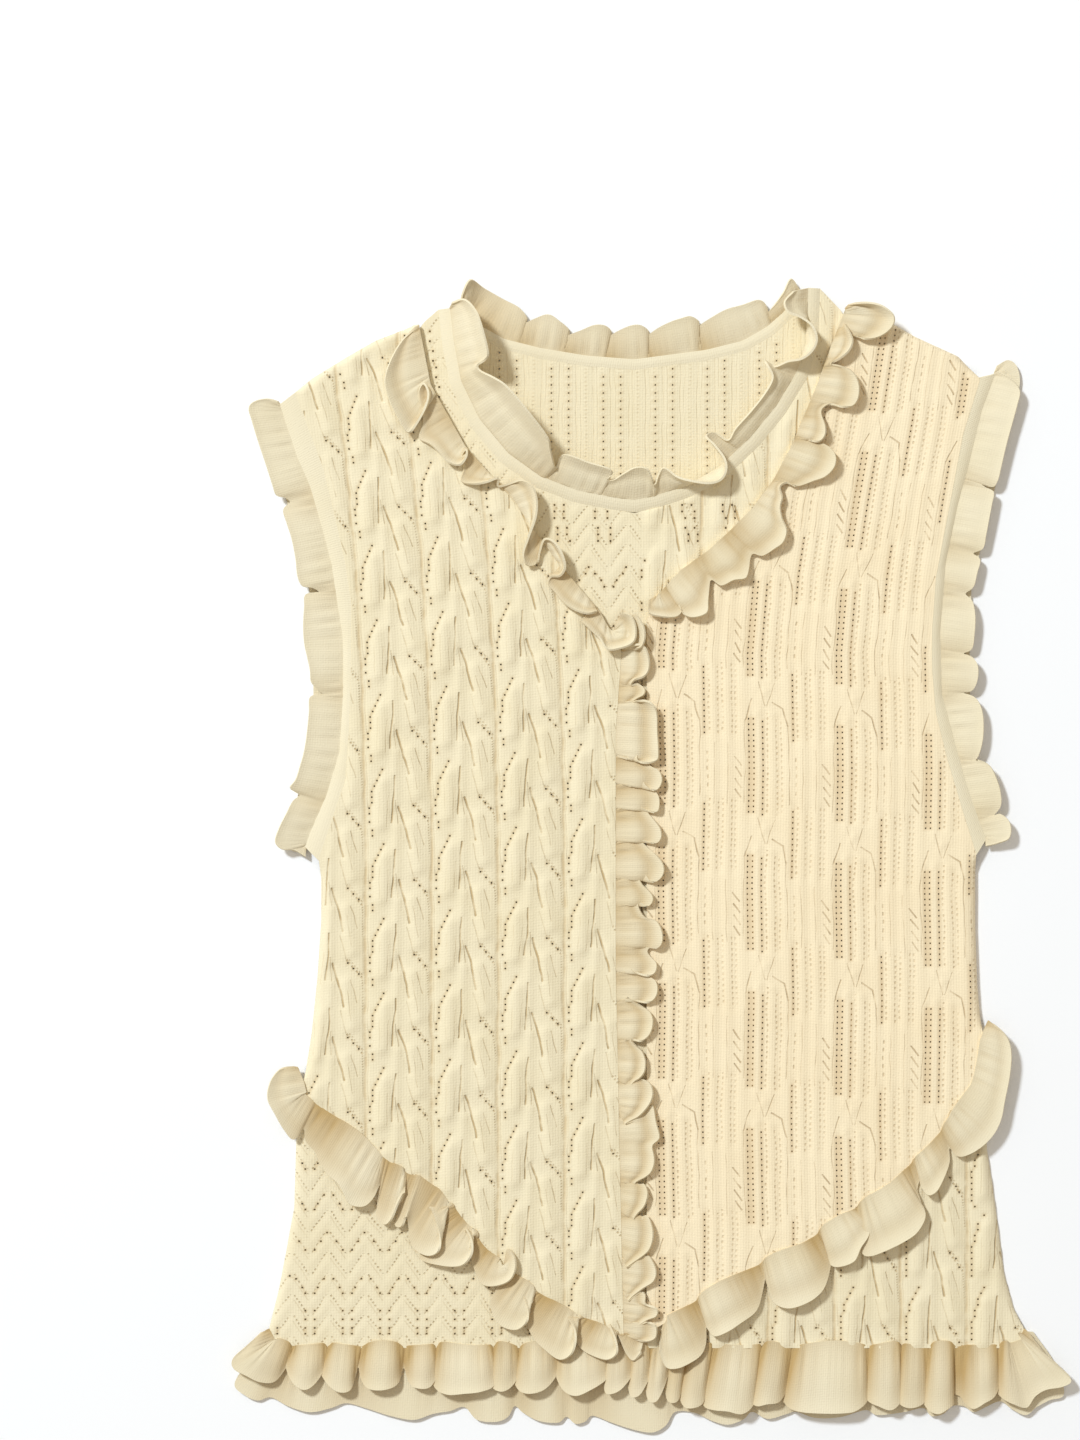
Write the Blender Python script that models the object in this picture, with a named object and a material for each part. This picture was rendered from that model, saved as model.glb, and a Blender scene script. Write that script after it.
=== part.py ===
"""A sleeveless knit top with ruffled edges, lying flat on its back.

Two layers are made as one garment: an inner top with a round neck, and two lace-knit outer
fronts with a V neck and curved hems, all sewn into the same shoulder, armhole and side seams.
Every edge carries a gathered ruffle.  Tables are in millimetres, the mesh in metres.
X runs to the right of somebody looking down at the garment, Y from hem to neck, Z up.
"Right" and "left" in names are the wearer's, so the right front lies at negative X.
"""
import math
from collections import namedtuple

import bpy
import numpy as np
from mathutils import Vector

MM = 0.001

# The middle of the whole garment, ruffles included, in the tables' own X and Y
MIDDLE_X = -1.25
MIDDLE_Y = -1.75

# Cloth, and the heights at which the layers lie on each other
PANEL_WALL = 1.5
RUFFLE_WALL = 1.1
SEAM_GAP = 0.3
BACK_Z = 0.0
INNER_Z = 1.8
OUTER_Z = 4.2
BESIDE_BACK = BACK_Z + PANEL_WALL / 2
BESIDE_INNER = INNER_Z + PANEL_WALL / 2
BESIDE_OUTER = OUTER_Z + PANEL_WALL / 2
ON_OUTER = OUTER_Z + PANEL_WALL + SEAM_GAP + RUFFLE_WALL / 2
SEAM_INSET = 5.0      # the lower layers stop this far inside the seams, and the top one rolls over them
COVERED_TO = 277.0    # up to here the outer fronts cover the inner front's seams
NECK_BAND = 6.0
BACK_NECK_BAND = 5.0
NECK_RISE = 3.0       # the front neck band stands up by this much
ARMHOLE_DROP = 1.6
UNDER_SHORTER = 2.0   # the armhole ruffle is this much shorter behind, out of sight
UNDER_HEIGHT = 0.4    # and its crests are this high there
PANEL_REACH = 200.0   # no panel goes out further than this from x = 0

# The outline, as (x, y) from the bottom up
SIDE_RIGHT = ((-190, -260), (-198, -257), (-200, -250), (-195, -230), (-191, -209), (-187, -187),
              (-186, -153), (-183, -129), (-178, -97), (-175, -68), (-173, -38), (-173, -17), (-174, -7))
ARMHOLE_RIGHT = ((-174, -7), (-165, 20), (-160, 35), (-158, 64), (-157, 102), (-157, 127),
                 (-160, 147), (-166, 174), (-171, 195), (-179, 217), (-186, 236))
SHOULDER_RIGHT = ((-186, 236), (-177, 244), (-159, 255), (-145, 263), (-127, 270), (-112, 279),
                  (-102, 286))
SIDE_LEFT = ((184, -260), (191, -257), (192, -250), (187, -240), (182, -222), (179, -199), (176, -176),
             (173, -157), (172, -126), (170, -94), (168, -71), (167, -42), (167, -4))
ARMHOLE_LEFT = ((167, -4), (161, 15), (152, 45), (146, 69), (144, 92), (144, 113), (146, 140),
                (153, 177), (160, 214), (169, 243))
SHOULDER_LEFT = ((169, 243), (158, 255), (136, 265), (122, 273), (100, 281), (87, 288), (80, 296))

# Edges inside the outline, also from the bottom up
V_RIGHT = ((-17, 102), (-28, 122), (-51, 149), (-75, 182), (-98, 208), (-116, 240), (-122, 271))
V_LEFT = ((-4, 118), (1, 130), (14, 144), (28, 154), (39, 164), (51, 176), (62, 191), (72, 210),
          (76, 220), (84, 239), (92, 261), (99, 279))
CENTRE_RIGHT = ((-16, -253), (-18, -160), (-20, -60), (-20, 60), (-17, 102))
CENTRE_LEFT = ((-4, -252), (-4, 118))
CURVED_HEM_RIGHT = ((-16, -253), (-28, -249), (-49, -239), (-70, -225), (-87, -209), (-100, -193),
                    (-113, -178), (-137, -165), (-155, -149), (-173, -135), (-183, -129))
CURVED_HEM_LEFT = ((-4, -252), (5, -247), (27, -232), (50, -219), (76, -207), (98, -192), (118, -179),
                   (136, -163), (154, -142), (165, -124), (171, -103))
NECK_FRONT_RIGHT = ((-10, 174), (-20, 175), (-41, 179), (-62, 187), (-80, 200), (-96, 219), (-106, 240),
                    (-110, 261), (-112, 279))
NECK_FRONT_LEFT = ((-10, 174), (1, 176), (19, 182), (37, 192), (54, 208), (68, 225), (79, 243), (85, 261),
                   (86, 290))
NECK_BACK_RIGHT = ((-10, 248), (-36, 250), (-60, 254), (-80, 259), (-96, 268), (-102, 277))
NECK_BACK_LEFT = ((-10, 248), (28, 253), (48, 258), (62, 266), (78, 281))

# Where the inner front's side goes under an outer front, and where its shoulder comes out again
INNER_TURN_RIGHT = ((-183, -129), (-177, -120))
INNER_TURN_LEFT = ((171, -107), (165.5, -97))
INNER_SHOULDER_RIGHT = ((-119, 273), (-112, 279))
INNER_SHOULDER_LEFT = ((94, 283.5), (86, 290))

# Armhole and hem seams that carry ruffles, in the order in which the ruffle is sewn on.
# A ruffle stands out to the left of its seam's direction.
ARMHOLE_SEAM_RIGHT = ((-181, 0), (-178, 8), (-170, 26), (-163, 49), (-161, 79), (-161, 108), (-164, 127),
                      (-167, 147), (-172, 166), (-178, 187), (-185, 203), (-194, 230))
ARMHOLE_SEAM_LEFT = ((177, 246), (170, 228), (163, 199), (157, 177), (151, 148), (148, 111), (149, 79),
                     (155, 57), (161, 35), (168, 14), (172, 4))
HEM_TURN_RIGHT = (-185, -114)     # where the curved hems' ruffles end, up the side seams
HEM_TURN_LEFT = (173, -90)
HEM_CROSSING = (-6, -256)         # where the right one starts, under the centre ruffle

# Ruffle folds: where each crest meets its seam (by the seam's x or y, or mm along it), how far its
# free edge stands out, how high that edge is, and how far out the trough after it stands.
Fold = namedtuple("Fold", "place reach height dip")
CENTRE_FOLDS = ((94, 17, 7, 12), (71, 20, 5, 12), (50, 21, 5, 15), (38, 23, 5, 14), (24, 22, 6, 15),
                (7, 23, 6, 12), (-10, 24, 5, 11), (-27, 18, 6, 11), (-45, 23, 5, 16), (-61, 20, 6, 15),
                (-73, 21, 5, 15), (-88, 18, 6, 8), (-111, 16, 5, 8), (-124, 19, 6, 10),
                (-142, 22, 5, 15), (-161, 20, 6, 8), (-177, 17, 6, 9), (-202, 19, 5, 7),
                (-221, 20, 5, 9), (-231, 16, 6, 8), (-240, 21, 5, 10))
RIGHT_V_FOLDS = ((109, 10, 7, 4), (120, 9, 6, 3), (134, 15, 6, 2), (147, 11, 7, -2), (168, -7, 9, -3),
                 (188, 14, 6, 6), (202, 15, 6, 6), (217, 22, 6, 6), (240, 22, 7, 4), (260, 9, 5, 3))
LEFT_V_FOLDS = ((276, 22, 8, 4), (262, 11, 8, 3), (244, 19, 8, 5), (221, 11, 7, 6), (208, 20, 6, 4),
                (190, 11, 7, 6), (174, 18, 6, 6), (155, 15, 6, 3), (144, 19, 6, 8), (133, 10, 6, 4))
NECK_FRONT_FOLDS = ((20, 15, 9, 9), (70, 19, 11, 6), (130, 11, 11, 8), (154, 14, 11, 6),
                    (174, 15, 11, 8), (212, 17, 12, 8), (240, 12, 11, 8), (266, 13, 11, 6),
                    (290, 15, 11, 8))
NECK_BACK_FOLDS = ((-90, 20, 3.5, 13), (-54, 18, 3, 11), (-29, 16, 3, 13), (-4, 15, 3, 13),
                   (20, 17, 3, 14), (48, 18, 3, 8), (68, 24, 4, 14))
ARMHOLE_RIGHT_FOLDS = ((12, 18, 4, 15), (34, 19, 3, 16), (60, 18, 3, 16), (84, 19, 3, 17),
                       (108, 21, 3, 16), (134, 18, 3, 15), (150, 18, 3, 16), (168, 20, 3, 18),
                       (184, 22, 3, 17), (206, 18, 3, 15), (224, 17, 4, 14))
ARMHOLE_LEFT_FOLDS = ((236, 18, 4, 16), (212, 19, 3, 16), (190, 19, 3, 15), (172, 17, 3, 15),
                      (148, 16, 3, 13), (122, 20, 4, 16), (100, 21, 4, 16), (78, 18, 3, 16),
                      (62, 18, 3, 11), (40, 15, 3, 11), (20, 18, 4, 14))
RIGHT_HEM_FOLDS = ((-12, 18, 7, 9), (-22, 21, 7, 10), (-36, 18, 7, 10), (-55, 17, 7, 9),
                   (-70, 16, 6, 9), (-85, 21, 8, 10), (-98, 20, 8, 10), (-111, 20, 8, 12),
                   (-128, 20, 6, 13), (-146, 21, 5, 14), (-163, 19, 5, 12), (-176, 17, 5, 12),
                   (-184, 15, 5, 10))
LEFT_HEM_FOLDS = ((172, 15, 5, 13), (160, 16, 5, 11), (146, 14, 6, 10), (134, 20, 6, 12),
                  (121, 20, 7, 10), (108, 22, 8, 12), (96, 22, 8, 10), (86, 23, 8, 9), (72, 17, 6, 12),
                  (55, 21, 5, 13), (35, 20, 5, 12), (20, 22, 6, 12), (9, 18, 6, 10))
INNER_HEM_FOLDS = ((191.3, 29, 7, 22), (170, 31, 7, 26), (149, 30, 7, 26), (134, 30, 7, 26),
                   (116, 32, 7, 27), (99, 33, 8, 27), (78, 34, 8, 28), (60, 34, 7, 28), (45, 35, 6, 29),
                   (31, 33, 4, 29), (17, 32, 4, 28), (2, 31, 4, 28), (-13, 30, 4, 26), (-28, 29, 4, 26),
                   (-43, 28, 4, 25), (-60, 26, 6, 22), (-77, 24, 7, 20), (-96, 23, 7, 20),
                   (-119, 25, 8, 20), (-140, 23, 8, 20), (-161, 26, 8, 20), (-181, 30, 8, 20),
                   (-199, 23, 7, 16))
BACK_HEM_FOLDS = ((183, 27, 2, 25), (160, 33, 2, 29), (130, 34, 2, 30), (100, 35, 2, 31),
                  (72, 36, 2, 32), (46, 40, 2, 36), (24, 41, 2, 37), (0, 44, 2, 38), (-24, 42, 2, 38),
                  (-48, 42, 2, 38), (-76, 40, 2, 36), (-100, 38, 2, 36), (-124, 40, 2, 35),
                  (-150, 36, 2, 33), (-177, 36, 2, 29), (-193, 24, 2, 20))

# How each ruffle lies: the height of its seam, how much it puffs up on the way out, and how high
# its free edge is in the troughs
Lay = namedtuple("Lay", "lift puff trough")
LAYS = {
    "neck_ruffle_front": Lay(BESIDE_INNER + NECK_RISE, 2.0, 8.0),
    "neck_ruffle_back": Lay(BESIDE_BACK, 0.6, 0.8),
    "v_ruffle_right": Lay(ON_OUTER, 2.5, 3.0),
    "v_ruffle_left": Lay(ON_OUTER, 2.5, 3.0),
    "centre_ruffle": Lay(BESIDE_OUTER, 3.5, 6.0),
    "curved_hem_ruffle_right": Lay(BESIDE_OUTER, 2.0, 3.0),
    "curved_hem_ruffle_left": Lay(BESIDE_OUTER, 2.0, 3.0),
    "hem_ruffle_front": Lay(BESIDE_INNER, 2.0, 2.4),
    "hem_ruffle_back": Lay(BESIDE_BACK, 0.3, 0.2),
    "armhole_ruffle_front_right": Lay(BESIDE_OUTER - ARMHOLE_DROP, 0.6, 1.2),
    "armhole_ruffle_front_left": Lay(BESIDE_OUTER - ARMHOLE_DROP, 0.6, 1.2),
    "armhole_ruffle_back_right": Lay(BESIDE_BACK, 0.2, 0.0),
    "armhole_ruffle_back_left": Lay(BESIDE_BACK, 0.2, 0.0),
}

# How each run of folds is worked out into a wall
STEPS_PER_HALF_FOLD = 2
STEPS_OUT = 2
SEAM_EASE = 4.0       # a seam's direction is taken over this length to either side
LEAST_STEP = 0.2      # sections of a wall are no closer than this
BAND_CROWN = 0.4
BAND_WALL = 1.3
ROLL_EASE = 8.0       # the length over which a seam starts or stops rolling down
ROLLED_RIM = 0.6
BACK_ROLL = ((0, 0),)                                     # (y, share rolled down)
INNER_ROLL = ((-252, 0), (-240, 1), (-140, 1), (-128, 0))

# Lace knit: leaves climb the right front, ribs that part and join climb the left one
LEAF_WIDTH = 34.0
LEAF_LENGTH = 39.0
LEAF_HEIGHT = 1.9
RIB_GROUP_WIDTH = 22.5
RIB_LENGTH = 71.0
RIB_HEIGHT = 1.5
CHEVRON_WIDTH = 36.0
CHEVRON_LENGTH = 48.0
CHEVRON_HEIGHT = 0.6
CHEVRONS_TO = -150.0
BACK_PITCH = 50.0
BACK_STEP = 24.0

CREAM = (0.84, 0.77, 0.58, 1.0)
SMOOTH_CREAM = (0.86, 0.80, 0.62, 1.0)
ROUGHNESS = 0.9


def clear_scene():
    for thing in list(bpy.data.objects):
        bpy.data.objects.remove(thing)


def knit_material(name, colour):
    material = bpy.data.materials.new(name)
    material.use_nodes = True
    shader = material.node_tree.nodes["Principled BSDF"]
    shader.inputs["Base Color"].default_value = colour
    shader.inputs["Roughness"].default_value = ROUGHNESS
    shader.inputs["Metallic"].default_value = 0.0
    return material


def place(x, y, z):
    """A point of the tables, in metres about the garment's middle."""
    return Vector((x - MIDDLE_X, y - MIDDLE_Y, z)) * MM


def x_at(line, y):
    """Where a line that only climbs crosses the height y."""
    return float(np.interp(y, [p[1] for p in line], [p[0] for p in line]))


def inset(line, distance):
    """The line moved sideways by a distance, to the right of its direction."""
    points = np.array(line, dtype=float)
    along = np.gradient(points, axis=0)
    along /= np.linalg.norm(along, axis=1)[:, None]
    across = np.stack([along[:, 1], -along[:, 0]], axis=1)
    return [tuple(p) for p in points + across * distance]


def climbing(line):
    """The points of a line, less those that fall back down, so that x_at can read it."""
    kept = [line[0]]
    for point in line[1:]:
        if point[1] > kept[-1][1]:
            kept.append(point)
    return kept


def measured(line):
    """The lengths along a line at its points."""
    steps = np.linalg.norm(np.diff(np.array(line, dtype=float), axis=0), axis=1)
    return np.concatenate([[0.0], np.cumsum(steps)])


def levels(low, high, step, corners):
    """Heights of a panel's sections: all of its corners, and about a step apart between them."""
    kept = [low]
    for y in sorted(c for c in corners if low < c < high) + [high]:
        if y - kept[-1] < LEAST_STEP and y != high:
            continue
        count = max(1, round((y - kept[-1]) / step))
        kept += [kept[-1] + (y - kept[-1]) * n / count for n in range(1, count)] + [y]
    return kept


def spots_along(seam, wanted):
    """Lengths along a seam: its own corners, and the wanted ones that aren't next to a corner."""
    corners = list(measured(seam))
    clear = [w for w in wanted if all(abs(w - c) > LEAST_STEP for c in corners)]
    return sorted(corners + clear)


def add_wall(name, grids, colour, group):
    """Closes grids of (upper, lower) point pairs into one cloth wall. Points that meet are one."""
    upper, lower, known, faces = [], [], {}, []

    def corner(pair):
        key = tuple(round(c, 7) for c in pair[0])
        if key not in known:
            known[key] = len(upper)
            upper.append(pair[0])
            lower.append(pair[1])
        return known[key]

    for grid in grids:
        for near, far in zip(grid, grid[1:]):
            for k in range(len(near) - 1):
                ring = [corner(near[k]), corner(near[k + 1]), corner(far[k + 1]), corner(far[k])]
                ring = [c for n, c in enumerate(ring) if c != ring[n - 1]]
                if len(set(ring)) > 2:
                    faces.append(ring)
    used = {(ring[n - 1], ring[n]) for ring in faces for n in range(len(ring))}
    rims = [(a, b) for a, b in used if (b, a) not in used]
    count = len(upper)
    under = [[c + count for c in reversed(ring)] for ring in faces]
    edges = [[b, a, a + count, b + count] for a, b in rims]
    mesh = bpy.data.meshes.new(name)
    mesh.from_pydata(upper + lower, [], faces + under + edges)
    mesh.validate()
    mesh.materials.append(knit_material(name + "_knit", colour))
    piece = bpy.data.objects.new(name, mesh)
    group.objects.link(piece)
    point_outwards(piece)
    return piece


def point_outwards(piece):
    """Turns a wall whose faces point inwards the right way round."""
    mesh = piece.data
    mesh.calc_loop_triangles()
    corners = [[mesh.vertices[v].co for v in t.vertices] for t in mesh.loop_triangles]
    if sum(a.dot(b.cross(c)) for a, b, c in corners) < 0:
        mesh.flip_normals()


def leaf_relief(x, y):
    """Plump leaves that climb in columns, each lapping the next."""
    across = ((x + 20.0) / LEAF_WIDTH) % 1.0
    along = ((y + 255.0) / LEAF_LENGTH) % 1.0
    ridge = 1.0 - abs(across - 0.5) * 2.0
    return LEAF_HEIGHT * ridge * (0.5 + 0.5 * math.sin(math.pi * along))


def rib_relief(x, y):
    """Groups of ribs between ladders of holes, each group half a length above its neighbour."""
    group = math.floor((x + 4.0) / RIB_GROUP_WIDTH)
    across = ((x + 4.0) / RIB_GROUP_WIDTH) % 1.0
    along = ((y + 255.0) / RIB_LENGTH + 0.5 * (group % 2)) % 1.0
    ridge = 1.0 - abs(across - 0.5) * 2.0
    return RIB_HEIGHT * (0.25 + 0.75 * ridge * math.sin(math.pi * along))


def chevron_relief(x, y):
    """Low zigzag ribs on the inner front, in its lower corners and between the sides of the V."""
    if CHEVRONS_TO < y < V_RIGHT[0][1] or y > V_RIGHT[0][1] and abs(x) > CHEVRON_WIDTH * 2:
        return 0.0
    across = (x / CHEVRON_WIDTH) % 1.0
    along = (y / CHEVRON_LENGTH + abs(across - 0.5)) % 1.0
    return CHEVRON_HEIGHT * abs(along - 0.5) * 2.0


def plain(x, y):
    return 0.0


def section(lines, y, wales, lift, relief, side, roll):
    """One row of a panel, as point pairs from its left edge to its right one.

    The seam lies on one side (-1 left, 1 right). Where roll is 1 it rolls down over the layers
    below, and where roll is 0 it lies flat.
    """
    low, high = x_at(lines[0], y), x_at(lines[1], y)
    inner_low = min(low + SEAM_INSET, high) if side < 0 else low
    inner_high = max(high - SEAM_INSET, low) if side > 0 else high
    pairs = []
    for x in [low] + [min(max(w, inner_low), inner_high) for w in wales] + [high]:
        if (side < 0 and x == low) or (side > 0 and x == high):
            rim = PANEL_WALL + (ROLLED_RIM - PANEL_WALL) * roll
            under = place(x - side * PANEL_WALL * roll, y, lift * (1 - roll))
            pairs.append((place(x, y, lift * (1 - roll) + rim), under))
        else:
            raised = relief(x, y) * min(1.0, (x - low) / SEAM_INSET, (high - x) / SEAM_INSET)
            pairs.append((place(x, y, lift + PANEL_WALL + raised), place(x, y, lift)))
    return pairs


def panel_grid(lines, rows, wales, lift, relief, side, roll):
    shares = [float(np.interp(y, [r[0] for r in roll], [r[1] for r in roll])) for y in rows]
    return [section(lines, y, wales, lift, relief, side, share) for y, share in zip(rows, shares)]


def wales_between(first, last, pitch, start):
    """The x of a panel's lengthwise lines, a pitch apart and counted from start."""
    low = math.floor((first - start) / pitch)
    high = math.ceil((last - start) / pitch)
    return [start + n * pitch for n in range(low, high + 1)]


def above(line, y):
    return tuple(p for p in line if p[1] > y)


def add_outer_front(name, side, lines, ends, wales, step, relief, group):
    """One of the two lace fronts: V neck, curved hem, and a side seam and shoulder that roll down."""
    hem_end, pit, tip, top = ends
    start = hem_end + ROLL_EASE
    roll = ((start, 0), (start + ROLL_EASE, 1), (pit - ROLL_EASE, 1), (pit, 0), (tip, 0),
            (tip + ROLL_EASE, 1))
    corners = [p[1] for p in lines[0] + lines[1]]
    rows = levels(lines[0][0][1], top, step, [r[0] for r in roll] + corners)
    add_wall(name, [panel_grid(lines, rows, wales, OUTER_Z, relief, side, roll)], CREAM, group)


def add_whole_panel(name, outlines, necks, wales, step, lift, relief, roll, group):
    """A panel that is whole below its neckline and parts round it above."""
    hem_y = outlines[0][0][1]
    split_x, split_y = necks[0][0]
    shared = levels(hem_y, split_y, step, [r[0] for r in roll] + [p[1] for p in outlines[0] + outlines[1]])
    grids = []
    for side, outline, neck in ((-1, outlines[0], necks[0]), (1, outlines[1], necks[1])):
        edge = ((split_x, hem_y),) + neck
        corners = [p[1] for p in neck] + [p[1] for p in outline] + [r[0] for r in roll]
        rows = shared + levels(split_y, neck[-1][1], step, corners)[1:]
        own = [w for w in wales if (w - split_x) * side > 0]
        lines = (outline, edge) if side < 0 else (edge, outline)
        grids.append(panel_grid(lines, rows, own, lift, relief, side, roll))
    add_wall(name, grids, CREAM, group)


def seam_spot(seam, spot, by):
    """The length along a seam at which a fold's place lies."""
    if by == "length":
        return float(spot)
    coordinates = np.array([p[0 if by == "x" else 1] for p in seam], dtype=float)
    order = np.argsort(coordinates)
    return float(np.interp(spot, coordinates[order], measured(seam)[order]))


def fold_stations(seam, folds, by, trough):
    """A ruffle's free edge as (length along the seam, reach, height), crests and troughs in turn."""
    total = float(measured(seam)[-1])
    spots = [seam_spot(seam, fold.place, by) for fold in folds]
    stations = [(0.0, folds[0].dip, trough)]
    for n, (spot, fold) in enumerate(zip(spots, folds)):
        after = spots[n + 1] if n + 1 < len(folds) else 2 * total - spot
        stations.append((spot, fold.reach, fold.height))
        stations.append(((spot + after) / 2, fold.dip, trough))
    return stations


def point_at(line, length):
    lengths = measured(line)
    return Vector([float(np.interp(length, lengths, [p[k] for p in line])) for k in (0, 1)])


def seam_frame(seam, length):
    """The point, and the direction that a ruffle stands out in, at a length along a seam."""
    along = (point_at(seam, length + SEAM_EASE) - point_at(seam, length - SEAM_EASE)).normalized()
    return point_at(seam, length), Vector((-along.y, along.x))


def ruffle_middle(seam, stations, lift, puff):
    """The middle surface of a ruffle: rows from its seam to its free edge."""
    spots = []
    for (start, _, _), (end, _, _) in zip(stations, stations[1:]):
        spots += [start + (end - start) * n / STEPS_PER_HALF_FOLD for n in range(STEPS_PER_HALF_FOLD)]
    spots = spots_along(seam, spots)
    ends = [s[0] for s in stations]
    rows = []
    for out in [n / STEPS_OUT for n in range(STEPS_OUT + 1)]:
        row = []
        for length in spots:
            k = min(max(np.searchsorted(ends, length, side="right") - 1, 0), len(ends) - 2)
            share = (length - ends[k]) / max(ends[k + 1] - ends[k], 1e-6)
            ease = 0.5 - 0.5 * math.cos(math.pi * share)
            reach = stations[k][1] + (stations[k + 1][1] - stations[k][1]) * ease
            height = stations[k][2] + (stations[k + 1][2] - stations[k][2]) * ease
            spot, direction = seam_frame(seam, length)
            point = spot + direction * (SEAM_GAP + reach * out)
            row.append(Vector((point.x, point.y, lift + height * out + puff * math.sin(math.pi * out))))
        rows.append(row)
    return rows


def surface_normals(rows):
    """Upward normals of a grid of points; the seam's own row stays upright, to meet its panel squarely."""
    points = np.array([[tuple(p) for p in row] for row in rows])
    normals = np.cross(np.gradient(points, axis=1), np.gradient(points, axis=0))
    normals /= np.linalg.norm(normals, axis=2)[:, :, None]
    normals *= np.sign(normals[:, :, 2:3] + 1e-9)
    normals[0] = (0.0, 0.0, 1.0)
    return normals


def add_strip(name, rows, wall, group):
    """A cloth strip of even thickness about its middle surface."""
    normals = surface_normals(rows)
    grid = []
    for row, row_normals in zip(rows, normals):
        offsets = [Vector(n) * wall / 2 for n in row_normals]
        grid.append([(place(*(p + o)), place(*(p - o))) for p, o in zip(row, offsets)])
    add_wall(name, [grid], SMOOTH_CREAM, group)


def add_ruffle(name, seam, rows, by, group):
    lay = LAYS[name]
    stations = fold_stations(seam, [Fold(*row) for row in rows], by, lay.trough)
    add_strip(name, ruffle_middle(seam, stations, lay.lift, lay.puff), RUFFLE_WALL, group)


def add_band(name, edge, seam, lift, drop, group):
    """A smooth band between a panel's edge and its ruffle's seam, both given in the same direction.

    It is crowned a little, and ends lower than it starts by drop.
    """
    edge_total, seam_total = measured(edge)[-1], measured(seam)[-1]
    shares = [s / edge_total for s in measured(edge)]
    least = LEAST_STEP / edge_total
    seam_shares = [s / seam_total for s in measured(seam)]
    shares = sorted(shares + [s for s in seam_shares if all(abs(s - e) > least for e in shares)])
    rows = []
    for out, crown in ((0.0, 0.0), (0.5, BAND_CROWN), (1.0, 0.0)):
        row = []
        for share in shares:
            start = point_at(edge, share * edge_total)
            end = point_at(seam, share * seam_total)
            across = (end - start).normalized() * SEAM_GAP
            point = (start + across).lerp(end - across, out)
            row.append(Vector((point.x, point.y, lift + crown - drop * out)))
        rows.append(row)
    add_strip(name, rows, BAND_WALL, group)


def lower_outline(side, armhole, shoulder, distance):
    """The outline of a layer that stops short of the seams."""
    return climbing(inset(side + armhole[1:] + shoulder[1:], distance))


def armhole_of(outline, armhole):
    """The stretch of a layer's outline beside an armhole."""
    return [p for p in outline if armhole[0][1] - LEAST_STEP <= p[1] <= armhole[-1][1] + LEAST_STEP]


def inner_outline(side, covered, turn, shoulder):
    """The inner front's outline: it shows at the sides below the curved hems, and again at the shoulders."""
    shown = tuple(p for p in side if p[1] < turn[0][1])
    hidden = tuple(p for p in covered if turn[-1][1] < p[1] < COVERED_TO and p[1] < shoulder[0][1])
    return shown + turn + hidden + shoulder


def hem_seam(outlines):
    """The seam of a bottom ruffle: from the left side round both lower corners to the right side."""
    left, right = outlines[1], outlines[0]
    return tuple(left[2::-1]) + tuple(right[:3])


def add_panels(back, inner, group):
    """The four lace-knit panels, from the floor up."""
    add_whole_panel("back_panel", back, (NECK_BACK_RIGHT, NECK_BACK_LEFT),
                    wales_between(-PANEL_REACH, PANEL_REACH, BACK_PITCH, 0), BACK_STEP,
                    BACK_Z, plain, BACK_ROLL, group)
    add_whole_panel("inner_front", inner, (NECK_FRONT_RIGHT, NECK_FRONT_LEFT),
                    wales_between(-PANEL_REACH, PANEL_REACH, CHEVRON_WIDTH / 2, 0), CHEVRON_LENGTH / 2,
                    INNER_Z, chevron_relief, INNER_ROLL, group)
    side = above(SIDE_RIGHT, CURVED_HEM_RIGHT[-1][1])
    outer = CURVED_HEM_RIGHT + side + ARMHOLE_RIGHT[1:] + SHOULDER_RIGHT[1:]
    ends = (CURVED_HEM_RIGHT[-1][1], ARMHOLE_RIGHT[0][1], SHOULDER_RIGHT[0][1], V_RIGHT[-1][1])
    add_outer_front("right_front", -1, (outer, CENTRE_RIGHT + V_RIGHT[1:]), ends,
                    wales_between(-PANEL_REACH, 0, LEAF_WIDTH / 3, CENTRE_RIGHT[-2][0]), LEAF_LENGTH / 3,
                    leaf_relief, group)
    side = above(SIDE_LEFT, CURVED_HEM_LEFT[-1][1])
    outer = CURVED_HEM_LEFT + side + ARMHOLE_LEFT[1:] + SHOULDER_LEFT[1:]
    ends = (CURVED_HEM_LEFT[-1][1], ARMHOLE_LEFT[0][1], SHOULDER_LEFT[0][1], V_LEFT[-1][1])
    add_outer_front("left_front", 1, (CENTRE_LEFT + V_LEFT[1:], outer), ends,
                    wales_between(0, PANEL_REACH, RIB_GROUP_WIDTH / 2, CENTRE_LEFT[0][0]), RIB_LENGTH / 4,
                    rib_relief, group)


def add_neck(group):
    """A band and a standing ruffle in front, and the same lying flat behind."""
    front = NECK_FRONT_RIGHT[::-1] + NECK_FRONT_LEFT[1:]
    front_seam = inset(front, -NECK_BAND)
    add_band("neck_band_front", front, front_seam, BESIDE_INNER, -NECK_RISE, group)
    add_ruffle("neck_ruffle_front", front_seam, NECK_FRONT_FOLDS, "length", group)
    back = NECK_BACK_RIGHT[::-1] + NECK_BACK_LEFT[1:]
    back_seam = inset(back, -BACK_NECK_BAND)
    add_band("neck_band_back", back, back_seam, BESIDE_BACK, 0.0, group)
    add_ruffle("neck_ruffle_back", back_seam, NECK_BACK_FOLDS, "x", group)


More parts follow.
